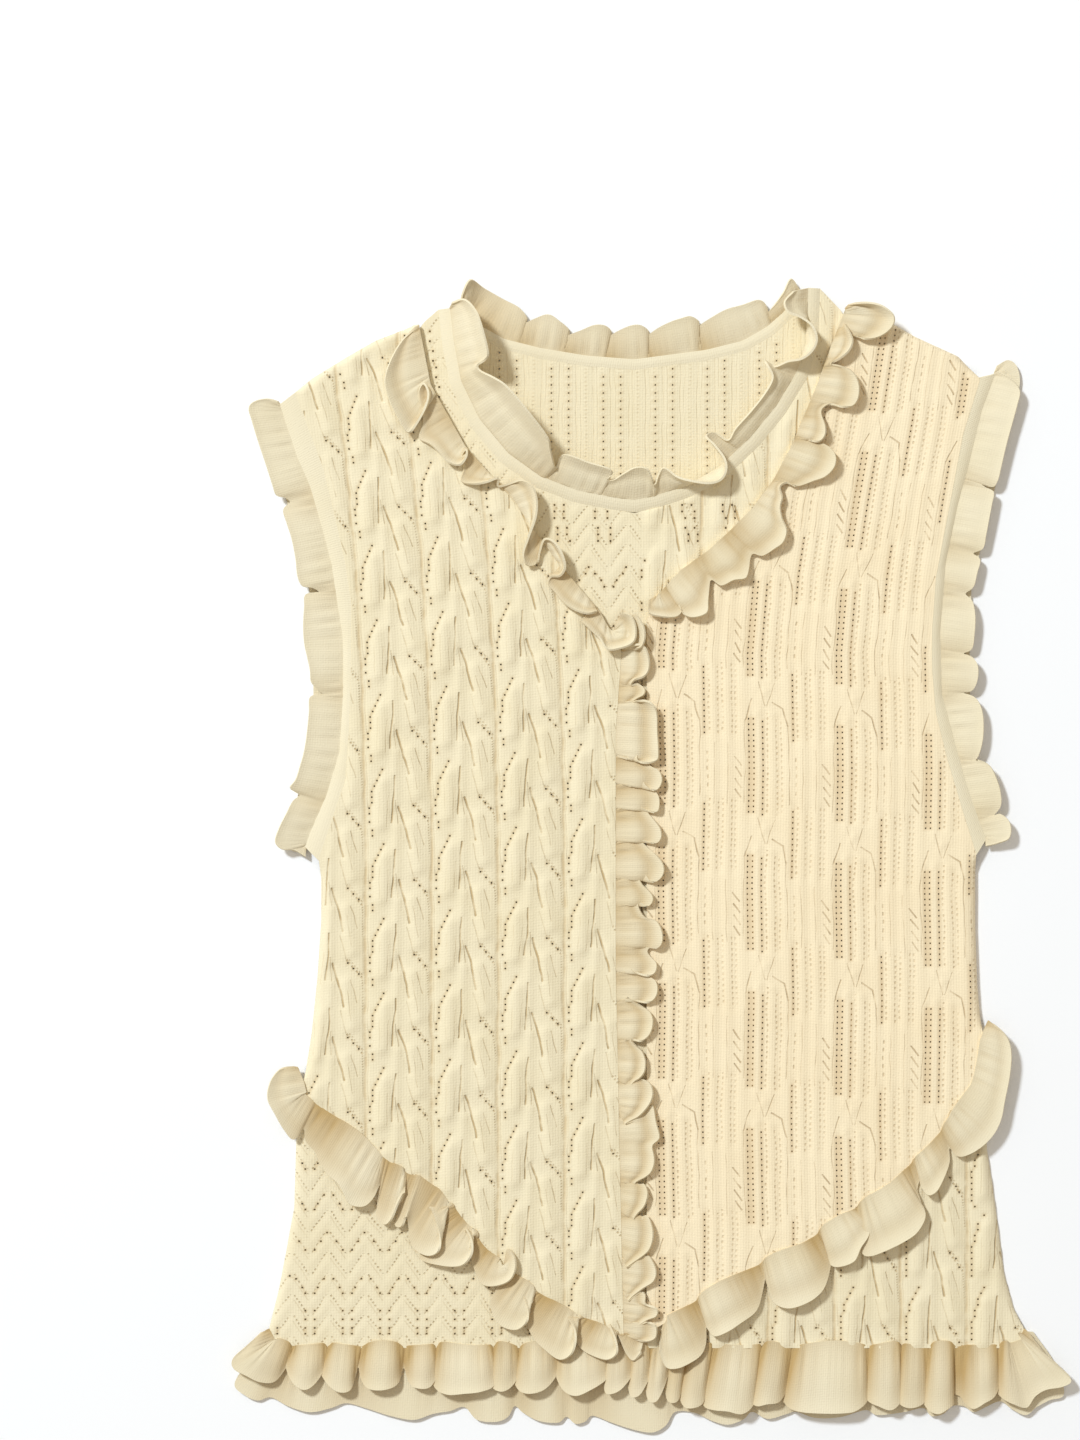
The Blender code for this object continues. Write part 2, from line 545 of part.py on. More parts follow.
def add_front_ruffles(group):
    """The outer fronts' ruffles: along the V, down the centre and along the curved hems."""
    right_hem = (HEM_CROSSING,) + CURVED_HEM_RIGHT + (HEM_TURN_RIGHT,)
    left_hem = (HEM_TURN_LEFT,) + CURVED_HEM_LEFT[:0:-1]
    add_ruffle("v_ruffle_right", V_RIGHT, RIGHT_V_FOLDS, "y", group)
    add_ruffle("v_ruffle_left", V_LEFT[:0:-1], LEFT_V_FOLDS, "y", group)
    add_ruffle("centre_ruffle", CENTRE_RIGHT[::-1], CENTRE_FOLDS, "y", group)
    add_ruffle("curved_hem_ruffle_right", right_hem, RIGHT_HEM_FOLDS, "x", group)
    add_ruffle("curved_hem_ruffle_left", left_hem, LEFT_HEM_FOLDS, "x", group)


def add_armhole(hand, armhole, back_line, seam, folds, group):
    """A band and a ruffle run all round an armhole, so once in front and once behind."""
    add_band("armhole_band_front_" + hand, armhole, seam, BESIDE_OUTER, ARMHOLE_DROP, group)
    add_band("armhole_band_back_" + hand, back_line, seam, BESIDE_BACK, 0.0, group)
    add_ruffle("armhole_ruffle_front_" + hand, seam, folds, "y", group)
    under = [(spot, reach - UNDER_SHORTER, UNDER_HEIGHT, dip - UNDER_SHORTER)
             for spot, reach, height, dip in folds[::2]]
    add_ruffle("armhole_ruffle_back_" + hand, seam, under, "y", group)


def build():
    clear_scene()
    group = bpy.data.collections.new("knit_top")
    bpy.context.scene.collection.children.link(group)
    back = (lower_outline(SIDE_RIGHT, ARMHOLE_RIGHT, SHOULDER_RIGHT, SEAM_INSET),
            lower_outline(SIDE_LEFT, ARMHOLE_LEFT, SHOULDER_LEFT, -SEAM_INSET))
    inner = (inner_outline(SIDE_RIGHT, back[0], INNER_TURN_RIGHT, INNER_SHOULDER_RIGHT),
             inner_outline(SIDE_LEFT, back[1], INNER_TURN_LEFT, INNER_SHOULDER_LEFT))
    add_panels(back, inner, group)
    add_neck(group)
    add_front_ruffles(group)
    add_ruffle("hem_ruffle_front", hem_seam(inner), INNER_HEM_FOLDS, "x", group)
    add_ruffle("hem_ruffle_back", hem_seam(back), BACK_HEM_FOLDS, "x", group)
    add_armhole("right", ARMHOLE_RIGHT, armhole_of(back[0], ARMHOLE_RIGHT),
                ARMHOLE_SEAM_RIGHT, ARMHOLE_RIGHT_FOLDS, group)
    add_armhole("left", ARMHOLE_LEFT[::-1], armhole_of(back[1], ARMHOLE_LEFT)[::-1],
                ARMHOLE_SEAM_LEFT, ARMHOLE_LEFT_FOLDS, group)


build()
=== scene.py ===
"""A sleeveless knit top with ruffled edges, lying flat on its back, dressed for its portrait.

Tables are in millimetres, as in the part's own source, and meshes in metres.
"Right" and "left" in names are the wearer's.
"""
import math
from collections import namedtuple

import bmesh
import bpy
import numpy as np
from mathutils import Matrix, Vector


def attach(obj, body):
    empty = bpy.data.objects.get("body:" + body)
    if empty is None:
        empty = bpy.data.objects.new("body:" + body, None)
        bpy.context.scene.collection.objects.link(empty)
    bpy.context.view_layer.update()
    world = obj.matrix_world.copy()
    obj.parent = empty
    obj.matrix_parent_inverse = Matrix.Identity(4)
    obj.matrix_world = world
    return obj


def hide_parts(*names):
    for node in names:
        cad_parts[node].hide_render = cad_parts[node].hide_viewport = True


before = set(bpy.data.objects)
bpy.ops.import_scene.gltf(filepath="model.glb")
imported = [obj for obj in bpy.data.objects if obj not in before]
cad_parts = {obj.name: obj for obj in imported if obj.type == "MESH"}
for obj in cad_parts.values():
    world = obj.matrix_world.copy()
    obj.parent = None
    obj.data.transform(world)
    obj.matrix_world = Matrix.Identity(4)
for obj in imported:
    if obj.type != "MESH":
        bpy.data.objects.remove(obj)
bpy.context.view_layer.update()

MM = 0.001

# The middle of the whole garment, ruffles included, in the tables' own X and Y
MIDDLE_X = -1.25
MIDDLE_Y = -1.75

# Cloth, and the heights at which the layers lie on each other
PANEL_WALL = 1.5
RUFFLE_WALL = 1.1
SEAM_GAP = 0.3
BACK_Z = 0.0
INNER_Z = 1.8
OUTER_Z = 4.2
BESIDE_BACK = BACK_Z + PANEL_WALL / 2
BESIDE_INNER = INNER_Z + PANEL_WALL / 2
BESIDE_OUTER = OUTER_Z + PANEL_WALL / 2
ON_OUTER = OUTER_Z + PANEL_WALL + SEAM_GAP + RUFFLE_WALL / 2
SEAM_INSET = 5.0      # the lower layers stop this far inside the seams, and the top one rolls over them
COVERED_TO = 277.0    # up to here the outer fronts cover the inner front's seams
NECK_BAND = 6.0
BACK_NECK_BAND = 5.0
NECK_RISE = 3.0       # the front neck band stands up by this much
ARMHOLE_DROP = 1.6    # the armhole bands come down by this much on the way out

# The outline, as (x, y) from the bottom up
SIDE_RIGHT = ((-190, -260), (-198, -257), (-200, -250), (-195, -230), (-191, -209), (-187, -187),
              (-186, -153), (-183, -129), (-178, -97), (-175, -68), (-173, -38), (-173, -17), (-174, -7))
ARMHOLE_RIGHT = ((-174, -7), (-165, 20), (-160, 35), (-158, 64), (-157, 102), (-157, 127),
                 (-160, 147), (-166, 174), (-171, 195), (-179, 217), (-186, 236))
SHOULDER_RIGHT = ((-186, 236), (-177, 244), (-159, 255), (-145, 263), (-127, 270), (-112, 279),
                  (-102, 286))
SIDE_LEFT = ((184, -260), (191, -257), (192, -250), (187, -240), (182, -222), (179, -199), (176, -176),
             (173, -157), (172, -126), (170, -94), (168, -71), (167, -42), (167, -4))
ARMHOLE_LEFT = ((167, -4), (161, 15), (152, 45), (146, 69), (144, 92), (144, 113), (146, 140),
                (153, 177), (160, 214), (169, 243))
SHOULDER_LEFT = ((169, 243), (158, 255), (136, 265), (122, 273), (100, 281), (87, 288), (80, 296))

# Edges inside the outline, also from the bottom up
V_RIGHT = ((-17, 102), (-28, 122), (-51, 149), (-75, 182), (-98, 208), (-116, 240), (-122, 271))
V_LEFT = ((-4, 118), (1, 130), (14, 144), (28, 154), (39, 164), (51, 176), (62, 191), (72, 210),
          (76, 220), (84, 239), (92, 261), (99, 279))
CENTRE_RIGHT = ((-16, -253), (-18, -160), (-20, -60), (-20, 60), (-17, 102))
CENTRE_LEFT = ((-4, -252), (-4, 118))
CURVED_HEM_RIGHT = ((-16, -253), (-28, -249), (-49, -239), (-70, -225), (-87, -209), (-100, -193),
                    (-113, -178), (-137, -165), (-155, -149), (-173, -135), (-183, -129))
CURVED_HEM_LEFT = ((-4, -252), (5, -247), (27, -232), (50, -219), (76, -207), (98, -192), (118, -179),
                   (136, -163), (154, -142), (165, -124), (171, -103))
NECK_FRONT_RIGHT = ((-10, 174), (-20, 175), (-41, 179), (-62, 187), (-80, 200), (-96, 219), (-106, 240),
                    (-110, 261), (-112, 279))
NECK_FRONT_LEFT = ((-10, 174), (1, 176), (19, 182), (37, 192), (54, 208), (68, 225), (79, 243), (85, 261),
                   (86, 290))
NECK_BACK_RIGHT = ((-10, 248), (-36, 250), (-60, 254), (-80, 259), (-96, 268), (-102, 277))
NECK_BACK_LEFT = ((-10, 248), (28, 253), (48, 258), (62, 266), (78, 281))

# Where the inner front's side goes under an outer front, and where its shoulder comes out again
INNER_TURN_RIGHT = ((-183, -129), (-177, -120))
INNER_TURN_LEFT = ((171, -107), (165.5, -97))
INNER_SHOULDER_RIGHT = ((-119, 273), (-112, 279))
INNER_SHOULDER_LEFT = ((94, 283.5), (86, 290))

# Armhole and hem seams that carry ruffles, in the order in which the ruffle is sewn on.
# A ruffle stands out to the left of its seam's direction.
ARMHOLE_SEAM_RIGHT = ((-181, 0), (-178, 8), (-170, 26), (-163, 49), (-161, 79), (-161, 108), (-164, 127),
                      (-167, 147), (-172, 166), (-178, 187), (-185, 203), (-194, 230))
ARMHOLE_SEAM_LEFT = ((177, 246), (170, 228), (163, 199), (157, 177), (151, 148), (148, 111), (149, 79),
                     (155, 57), (161, 35), (168, 14), (172, 4))
HEM_TURN_RIGHT = (-185, -114)     # where the curved hems' ruffles end, up the side seams
HEM_TURN_LEFT = (173, -90)
HEM_CROSSING = (-6, -256)         # where the right one starts, under the centre ruffle
HEM_CORNER = 3                    # points up a side that a bottom ruffle is still sewn to

# Bands and side seams
ARMHOLE_SLACK = 0.2   # points this far past an armhole's ends still belong to it
BAND_CROWN = 0.4      # how much a band is rounded up between its two seams
BAND_WALL = 1.3
ROLL_EASE = 8.0       # the length over which a seam starts or stops rolling down
ROLLED_RIM = 0.6      # how high a rolled seam's outermost cloth lies
INNER_ROLL = ((-252, 0), (-240, 1), (-140, 1), (-128, 0))

# Finer form of the cloth, in millimetres
LEAF_WIDTH = 34.4
LEAF_LENGTH = 38.7
RIB_GROUP_WIDTH = 23.0
RIB_LENGTH = 71.0
FAR = 1000.0                  # beyond every edge
TINY = 1e-9
STRAIGHT = ((0, 0),)          # no lean, or no roll, at any height
SHARP_EDGE = math.radians(60.0)
NECK_SINK = 1.5               # how much flatter the front neck band lies than its solid
EYELET_CLEAR = 2.5            # eyelets stay this far from an edge
CLOTH_FOLLOWS = 0.6           # the underside follows the raised knit by this share
FLOOR_CLEAR = 0.15
BAND_STEP = 3.0
BAND_ROWS = 6
EYELET_DRAWN = 0.42           # the share by which an eyelet's corners are drawn in
SPARE_REPEATS = 2             # repeats of a lace tried beyond a panel's box
ROW_CLEAR = 0.1               # rows and columns are no closer than this to a panel's ends
THICKEST = 1.2                # a rolled seam is at most this many walls thick
SEAM_LAP = 0.3                # the scene's cloths lap this much where they are sewn together

# How a ruffle's cloth runs out to its free edge: steps along it, rows out to it, and the shade painted on
# it
RIM_STEP = 1.0
RIM_ROWS = 12
RIM_PARTS = 8                 # parts in which the edge is curved between two placed points
ROOTS_EVEN = 0.2              # the share of a ruffle's gathers that is spread evenly along its seam
ROOT_EASE = 4.0               # roots are evened out over this length of free edge
DEEPER = 0.5                  # how much deeper a dip is pressed, as a share of its height
PLEAT = 0.3                   # the height of the fine gathers near a seam
PLEAT_SHADE = 0.14            # how much painted shade darkens the dips between them
PLEAT_START = 5.0             # how quickly they begin at the seam
PLEAT_WAVES = ((1.0, 0.5, 0.17, 2.5), (0.5, 1.3, 0.31, 2.0))   # (share, waves, slow waves, their sway)
RISE = 1.1                    # how a ruffle climbs on its way out: below 1, early
LIP = 0.12                    # how much its free edge turns up, as a share of its height
LIP_FROM = 0.75               # and from what share of the way out
ROOT_SHADE = 0.2              # how much painted shade darkens it at its gathered seam
SHADE_REACH = 4.0             # how far the painted shade of a fold spreads
SHADE_FADE = 0.45             # how much less painted shade a fold has at the free edge
CUP_MIDDLE = 0.72             # where on the way out a lobe is cupped, how widely, and how much painted shade the cup has
CUP_WIDTH = 0.16
CUP_SHADE = 1.1
FULL_PUFF = 4.0               # free edges at least this high have the whole puff
LEAST_PUFF = 0.1              # the lowest ones have this share of it
NEARBY = 9.0                  # a dip is told from the highest free edge this near
LAP_LIFT = 1.6                # how far a lobe's root is lifted where it laps over the cloth
LAP_SHARE = 0.7               # the usual share of the full lap, how far that share swings along a
LAP_SWING = 0.3               # seam, and how quickly
LAP_WAVES = 0.11
LAP_EASE = 20                 # steps over which the lap eases off at either end of a seam

# How each ruffle lies: how high the middle of its cloth is at the seam, how far it bulges, how deep
# it is cupped behind its free edge as a share of its height, how dark the shade painted on it is, and how
# far its lobes lap over the cloth that they are sewn to
Ruffle = namedtuple("Ruffle", "seam_z puff cup shade lap")
RUFFLES = {
    "neck_ruffle_front": Ruffle(BESIDE_INNER + NECK_RISE - NECK_SINK, 0.3, 0.1, 0.6, 0.0),
    "neck_ruffle_back": Ruffle(BESIDE_BACK, 0.4, 0.0, 0.8, 0.0),
    "v_ruffle_right": Ruffle(ON_OUTER, 0.2, 0.35, 1.0, 0.0),
    "v_ruffle_left": Ruffle(ON_OUTER, 0.2, 0.35, 1.1, 0.0),
    "centre_ruffle": Ruffle(BESIDE_OUTER, 0.6, 0.45, 1.0, 0.0),
    "curved_hem_ruffle_right": Ruffle(BESIDE_OUTER, 0.6, 0.15, 1.0, 3.0),
    "curved_hem_ruffle_left": Ruffle(BESIDE_OUTER, 0.6, 0.15, 1.0, 3.0),
    "hem_ruffle_front": Ruffle(BESIDE_INNER, 1.4, 0.0, 1.2, 4.0),
    "hem_ruffle_back": Ruffle(BESIDE_BACK, 0.4, 0.0, 0.8, 0.0),
    "armhole_ruffle_front_right": Ruffle(BESIDE_OUTER - ARMHOLE_DROP, 0.3, 0.0, 0.4, 0.0),
    "armhole_ruffle_front_left": Ruffle(BESIDE_OUTER - ARMHOLE_DROP, 0.3, 0.0, 0.4, 0.0),
    "armhole_ruffle_back_right": Ruffle(BESIDE_BACK, 0.3, 0.0, 0.4, 0.0),
    "armhole_ruffle_back_left": Ruffle(BESIDE_BACK, 0.3, 0.0, 0.4, 0.0),
}

# The free edge of each ruffle, placed one by one: (x, y, height above its seam), from one end to the
# other
CENTRE_RIM = (
    (-15, 103, 4), (-10, 105, 6), (-5.5, 104, 6), (-3, 98, 6), (-3, 92, 5.5), (-5.5, 88.5, 5),
    (-10, 86.8, 4), (-12, 84, 3), (-8, 84.5, 2.5), (-5, 82, 4), (-5.5, 79, 4.5), (-9, 77, 3.5),
    (-13, 74, 2.5), (-9, 75.5, 4.5), (-5, 76, 6), (-1, 74, 6.5), (1.2, 69, 6), (1.5, 60, 5.5),
    (2, 50, 6), (1.5, 45.5, 5.5), (-3, 43.8, 5), (-8, 44.5, 4.2), (-8.5, 47.5, 3.4), (-5, 48.5, 2.8),
    (-3, 45, 2.4), (-2, 42.2, 3), (2, 40, 4.5), (3.8, 36.5, 5.5), (3.5, 33, 5.5), (1.5, 30, 5),
    (-1.5, 30, 4.2), (-5, 33, 3.2), (-5.5, 35.5, 2.6), (-2, 33.5, 2.2), (0, 29.5, 2.6), (2.2, 26.5, 4),
    (2.6, 22, 4.6), (1.5, 18.6, 4.4), (-2, 18.6, 3.6), (-7, 21, 2.8), (-9, 23, 2.4), (-5, 20.5, 2.2),
    (-3, 17.5, 3), (0, 14, 4.5), (2.8, 10, 5.6), (3.6, 6, 5.8), (2, 2.8, 5), (-1, 2.4, 4), (-6, 4, 3),
    (-10, 5.5, 2.4), (-6, 2.5, 2.4), (-3, -0.5, 3.2), (0.5, -3.5, 5), (3.8, -7.5, 6.2),
    (4.9, -11.5, 6.4), (3.8, -15, 5.8), (1, -17.6, 4.6), (-2, -17.4, 3.8), (-4.5, -14, 3),
    (-7, -13, 2.6), (-7.8, -16, 2.6), (-6, -19.5, 3), (-3, -22.3, 3.8), (-0.8, -25.5, 4.6),
    (-1.2, -28.5, 4.4), (-3.5, -30.5, 3.6), (-6.5, -28.5, 2.8), (-8.3, -29, 2.6), (-7.5, -32.5, 2.8),
    (-5, -36, 3.2), (-2.5, -37, 3.8), (0.5, -37.8, 4.8), (3, -41, 6), (4.2, -46, 6.4), (3.5, -50, 5.8),
    (1, -52.2, 4.4), (-2, -51.6, 3.4), (-3.6, -54, 2.8), (-1.5, -57, 3.4), (0.8, -59.5, 4.6),
    (1.2, -62, 5.2), (0, -65, 5), (-3, -66.3, 4.4), (-8, -65.3, 3.6), (-12, -63, 2.8), (-8, -65, 2.4),
    (-3, -67, 2.6), (0.3, -68.8, 4), (1.6, -72, 5), (1.2, -76, 5.2), (-1, -79.2, 4.6), (-4, -80.2, 4),
    (-9, -79.3, 3.2), (-14, -77.5, 2.6), (-10, -80.3, 2.4), (-6, -82.5, 2.6), (-2.5, -85, 3.8),
    (-1, -88, 4.8), (-0.8, -91, 5), (-1.5, -94.5, 5), (-3.5, -98, 4.4), (-7, -100.2, 3.6),
    (-12, -99.5, 2.6), (-9, -103.3, 2.6), (-6.5, -105.5, 3.4), (-5, -109, 4.4), (-4.7, -112, 4.8),
    (-5.2, -116, 4.8), (-7.5, -119.3, 4.2), (-10.5, -121.5, 3.4), (-12.3, -124.5, 2.6), (-8, -121.2, 3),
    (-4.5, -120.6, 4.2), (-2, -122.5, 5.4), (-0.9, -127, 6), (-2, -131.5, 5.8), (-5, -136, 5),
    (-8.5, -139.5, 4), (-12, -141.5, 3), (-15, -143.5, 2.5), (-10, -141.8, 2.4), (-5, -137, 2.6),
    (-1.8, -133.5, 3.2), (-0.3, -135, 3.8), (0.8, -142, 4.6), (2.6, -149, 5), (1.8, -151.5, 4.6),
    (-1, -154.5, 4), (-0.2, -160, 4.8), (-0.3, -164, 5.2), (-1.8, -168, 5), (-4.5, -170.5, 4.2),
    (-7, -172, 3.4), (-10, -174, 2.8), (-8, -175, 2.4), (-5, -174.5, 3.4), (-3.6, -178, 4.6),
    (-3.8, -181.5, 4.8), (-5.5, -186, 4.4), (-9, -190, 3.4), (-10.3, -193, 2.8), (-6, -193, 2.6),
    (-3.5, -191, 3.4), (-1.8, -194, 4.6), (-0.8, -199, 5.4), (-1.2, -204, 5.4), (-3, -208.5, 4.8),
    (-6, -211.5, 4), (-10, -214.5, 3.2), (-14.5, -218, 2.5), (-10, -215.8, 2.4), (-6, -213, 2.6),
    (-3, -211.5, 3.4), (-0.5, -215, 4.4), (0.8, -219, 5), (0.5, -222.5, 5), (-1.5, -225.5, 4.4),
    (-6, -228.5, 3.6), (-11, -232.5, 2.8), (-13.5, -235.5, 2.4), (-9.5, -232.5, 2.4), (-6, -230.5, 2.8),
    (-4.6, -232, 3.4), (-4.7, -236, 3.6), (-3, -237.2, 4), (0, -238, 4.6), (1.8, -240, 4.8),
    (0.5, -243, 4.4), (-4, -245, 3.6), (-9, -248.5, 3), (-7, -247.5, 2.8), (-3, -246, 4.2),
    (0.3, -247, 5), (1.2, -250, 5), (0.3, -254, 4.4), (-4, -256, 3.6), (-10, -255, 2),
)
V_RIGHT_RIM = (
    (-124, 269, 1.5), (-131, 262, 3), (-137, 251, 4.5), (-139.5, 241, 5), (-137, 231, 5.2),
    (-132, 221, 5), (-127.5, 214.5, 4.5), (-123, 219.5, 4.8), (-118.5, 228, 5.4), (-117, 235, 5.8),
    (-119.5, 240, 5), (-122, 236, 3.4), (-121, 228, 2.2), (-120, 220, 1.6), (-122, 212, 1.8),
    (-116, 208.5, 3.2), (-111, 204, 4.2), (-107, 199.5, 4.6), (-101, 197.8, 4.6), (-97.5, 202, 5),
    (-97.5, 206, 4.6), (-100, 203, 2.8), (-99, 196, 1.8), (-100, 189.5, 2.2), (-94, 188, 3.4),
    (-87, 189, 4.4), (-81, 191, 4.4), (-81, 187, 2.8), (-76, 188, 3.2), (-69, 190, 5),
    (-63.5, 187, 6.4), (-61, 180, 7), (-61.5, 171, 7.4), (-65, 161, 6.8), (-68, 152, 5.2),
    (-66, 146, 3.6), (-61, 147, 2.2), (-59.5, 153, 3.2), (-57, 159.5, 5), (-52, 158, 6),
    (-48, 152, 6.5), (-46.3, 145, 6), (-49, 140.5, 4.6), (-54, 140, 3), (-55, 136, 1.8),
    (-51.5, 132, 2.4), (-48, 127.5, 3.8), (-42, 123.3, 4.8), (-35, 121, 4.8), (-30, 122, 3.6),
    (-33, 120, 2), (-38, 117.5, 2.2), (-34, 113.5, 4), (-28.5, 108.5, 5), (-24.5, 102.5, 5.5),
    (-18, 103, 5.8), (-12, 105.3, 6), (-9.8, 109, 6), (-10, 115, 6.2), (-12.5, 120, 6), (-17, 121.5, 5),
    (-15, 119, 3.4), (-10, 120.5, 5), (-6, 115, 6.5), (-5, 109, 6.5), (-6.5, 104, 5.5),
    (-10, 102.5, 3.5), (-15, 102, 1.5),
)
V_LEFT_RIM = (
    (100, 281, 2), (104, 281.5, 5), (111, 281.5, 6.5), (118, 279.5, 7), (123.5, 274.5, 7),
    (122.5, 269, 6.5), (117, 264.5, 5.5), (110, 263, 4.2), (104, 265.5, 2.6), (99, 271, 2.4),
    (100.5, 267.5, 4.5), (102.3, 262, 5.5), (100.5, 257, 5.5), (96, 253, 4.6), (91.5, 250.5, 2.6),
    (97, 249, 3), (102, 246.5, 4.8), (105.3, 240, 6), (105.3, 233, 6), (102.5, 228.5, 5), (97, 228, 4),
    (91, 229.5, 3), (86.5, 226, 2.4), (88.3, 218, 4.6), (88, 213, 5), (85, 210, 4.4), (80, 211, 2.6),
    (84.5, 210, 2.2), (89.5, 208, 3.4), (93.5, 203, 5), (93, 197, 5.2), (88.5, 192, 4.6),
    (82, 189.5, 3.6), (74, 187, 2.2), (69, 189, 2), (65, 186.5, 3.2), (66, 181, 4.2), (65, 176, 4),
    (66, 170, 4.4), (68.3, 164, 5), (66.5, 158, 5), (62, 154.5, 4.2), (56, 151, 3), (51, 152, 2),
    (49.5, 149, 2.4), (48.8, 144, 3.6), (47, 139.3, 4.4), (41, 138.3, 4), (34.5, 135.5, 3),
    (29.5, 138.5, 2), (28.5, 135, 2.6), (27.8, 128, 4), (27, 121.5, 4.8), (20, 119, 4.6),
    (15, 121, 3.6), (13, 127.5, 1.8), (14.5, 123, 2.2), (11, 119.3, 3.4), (3, 119.5, 4),
    (-3, 121.5, 3.4), (-3, 128, 1.4),
)
NECK_FRONT_RIM = (
    (-105, 282, 6), (-98.5, 283, 12), (-93, 277.5, 16), (-89.5, 269, 18), (-86, 255, 17.5),
    (-87.5, 251.5, 15.5), (-91.5, 249, 13), (-90, 246, 13.5), (-83, 242, 17), (-76, 237, 18),
    (-65, 224, 18), (-55.5, 211.5, 16), (-54, 206, 13), (-52, 198, 8), (-50.5, 197, 5.5),
    (-48, 203, 6.5), (-43, 202.5, 8), (-34, 199, 8.4), (-24, 196, 8.4), (-22, 193.5, 7.4),
    (-25, 190.5, 5.4), (-21, 190.5, 5.2), (-16, 193.5, 6.6), (-10, 196.5, 7.8), (-4, 195.8, 8.2),
    (-1.5, 191, 7), (0, 188, 5.2), (2, 193, 5.4), (5, 196.5, 6.8), (12, 191.5, 8.2), (20, 189.3, 9),
    (28, 188.3, 9.4), (34, 190, 9.6), (36.8, 195, 9.6), (36, 201, 9), (31, 208, 8), (26.5, 213, 6.4),
    (31, 215, 4.2), (38, 211, 4), (42, 217, 4.6), (50, 226, 5.2), (57, 235, 6), (61, 243, 7.4),
    (58.5, 249, 7.6), (57, 252, 5.4), (62, 249, 5), (69, 251.5, 7.5), (76, 252.5, 10.5),
    (81.5, 257, 11), (83.5, 263, 11), (81, 269.5, 11), (75, 274, 10.5), (69, 276.5, 10), (67, 282, 9),
    (72, 288, 6),
)
NECK_BACK_RIM = (
    (-101, 280, 3), (-99, 288, 7), (-95, 294, 8), (-88, 290, 3), (-79, 285, 1.6), (-70, 280, 2),
    (-66, 274.5, 1.2), (-69, 271.5, 0.6), (-62, 274.5, 1.8), (-55, 276.5, 2.8), (-49, 273, 2.6),
    (-44, 268.5, 1.4), (-47, 265.5, 0.6), (-39, 268, 1.8), (-31, 271, 2.8), (-25, 270.5, 2.8),
    (-22.5, 267.5, 1.6), (-26, 264, 0.6), (-18, 268.5, 1.8), (-11, 271, 2.8), (-6, 270.5, 2.8),
    (-3, 267.5, 1.6), (-6.5, 263.5, 0.6), (1, 269, 1.6), (8, 272.5, 2.6), (14, 274.5, 3),
    (19, 275.5, 3), (23, 273, 2), (21, 269.5, 0.8), (28, 274, 1.8), (37, 279, 2.6), (46, 281.5, 3),
    (54, 284, 3), (58, 281.5, 2), (57, 276, 0.8), (62, 281, 2), (67, 288, 3), (71, 295, 3.6),
    (76, 289, 1.6),
)
HEM_RIGHT_RIM = (
    (-187, -114, 1), (-194, -115, 2.5), (-199, -121.5, 3.6), (-200.3, -130, 4), (-196.5, -138, 4),
    (-192, -146, 3.4), (-187, -151.5, 2.4), (-182, -146, 0.6), (-181, -152, 0.4), (-176, -158, 0.8),
    (-173.5, -163.5, 1.8), (-169, -169.5, 3), (-163.5, -174.5, 4), (-160.5, -180, 4.4),
    (-157.5, -184.8, 4.4), (-150.5, -185.8, 4), (-145.5, -181.5, 3), (-142.5, -175, 1.2),
    (-144, -187, 0.8), (-143.5, -192, 2.2), (-140, -195.3, 3.4), (-136.5, -193, 4.2), (-133, -185, 4.4),
    (-129.5, -178.5, 3.4), (-132, -186, 1.2), (-134.5, -195.5, 1.4), (-131, -196.5, 2.8),
    (-128.5, -191, 3), (-127.5, -197, 1.2), (-127, -203, 2), (-123, -209, 3.6), (-117, -211.3, 4.8),
    (-112, -209, 5.2), (-111, -202.5, 4.8), (-113.5, -193, 3.6), (-117, -186.5, 1.8), (-119, -196, 0.4),
    (-121.5, -211, 0.8), (-119.5, -214.5, 2.2), (-112, -216.3, 3.6), (-104, -217, 4.6),
    (-98.5, -215.5, 5.2), (-94.6, -210, 5.4), (-94.8, -203, 4.8), (-98, -197.5, 2.8),
    (-97.5, -205, 0.8), (-95, -214, 0.4), (-92.5, -221, 1.4), (-89, -226.5, 3), (-82, -227, 4.2),
    (-75, -224, 5), (-72, -218, 5.2), (-72.5, -211.5, 4.4), (-76, -208, 2.6), (-77, -216, 0.6),
    (-82, -229, 0.4), (-85, -236, 1.4), (-83, -244, 3), (-78, -248.5, 4), (-71, -249.5, 4.6),
    (-66, -245, 4.6), (-66, -238, 3.6), (-69, -231, 1.8), (-68, -238, 0.5), (-66, -247, 0.4),
    (-63, -254, 1.6), (-57, -260, 3.4), (-49.5, -265, 4.6), (-43.5, -262.5, 5.2), (-41, -256, 5.4),
    (-41.5, -249, 4.8), (-45, -243.5, 2.8), (-42, -249, 1), (-40, -257, 1), (-36.5, -261, 2.6),
    (-30, -264, 4), (-24, -265, 4.6), (-19.5, -261.5, 4.6), (-20.5, -254, 4), (-23.5, -247, 2.2),
    (-19, -253, 1), (-15, -262, 1.2), (-11, -266, 2.2), (-7, -262, 2.6),
)
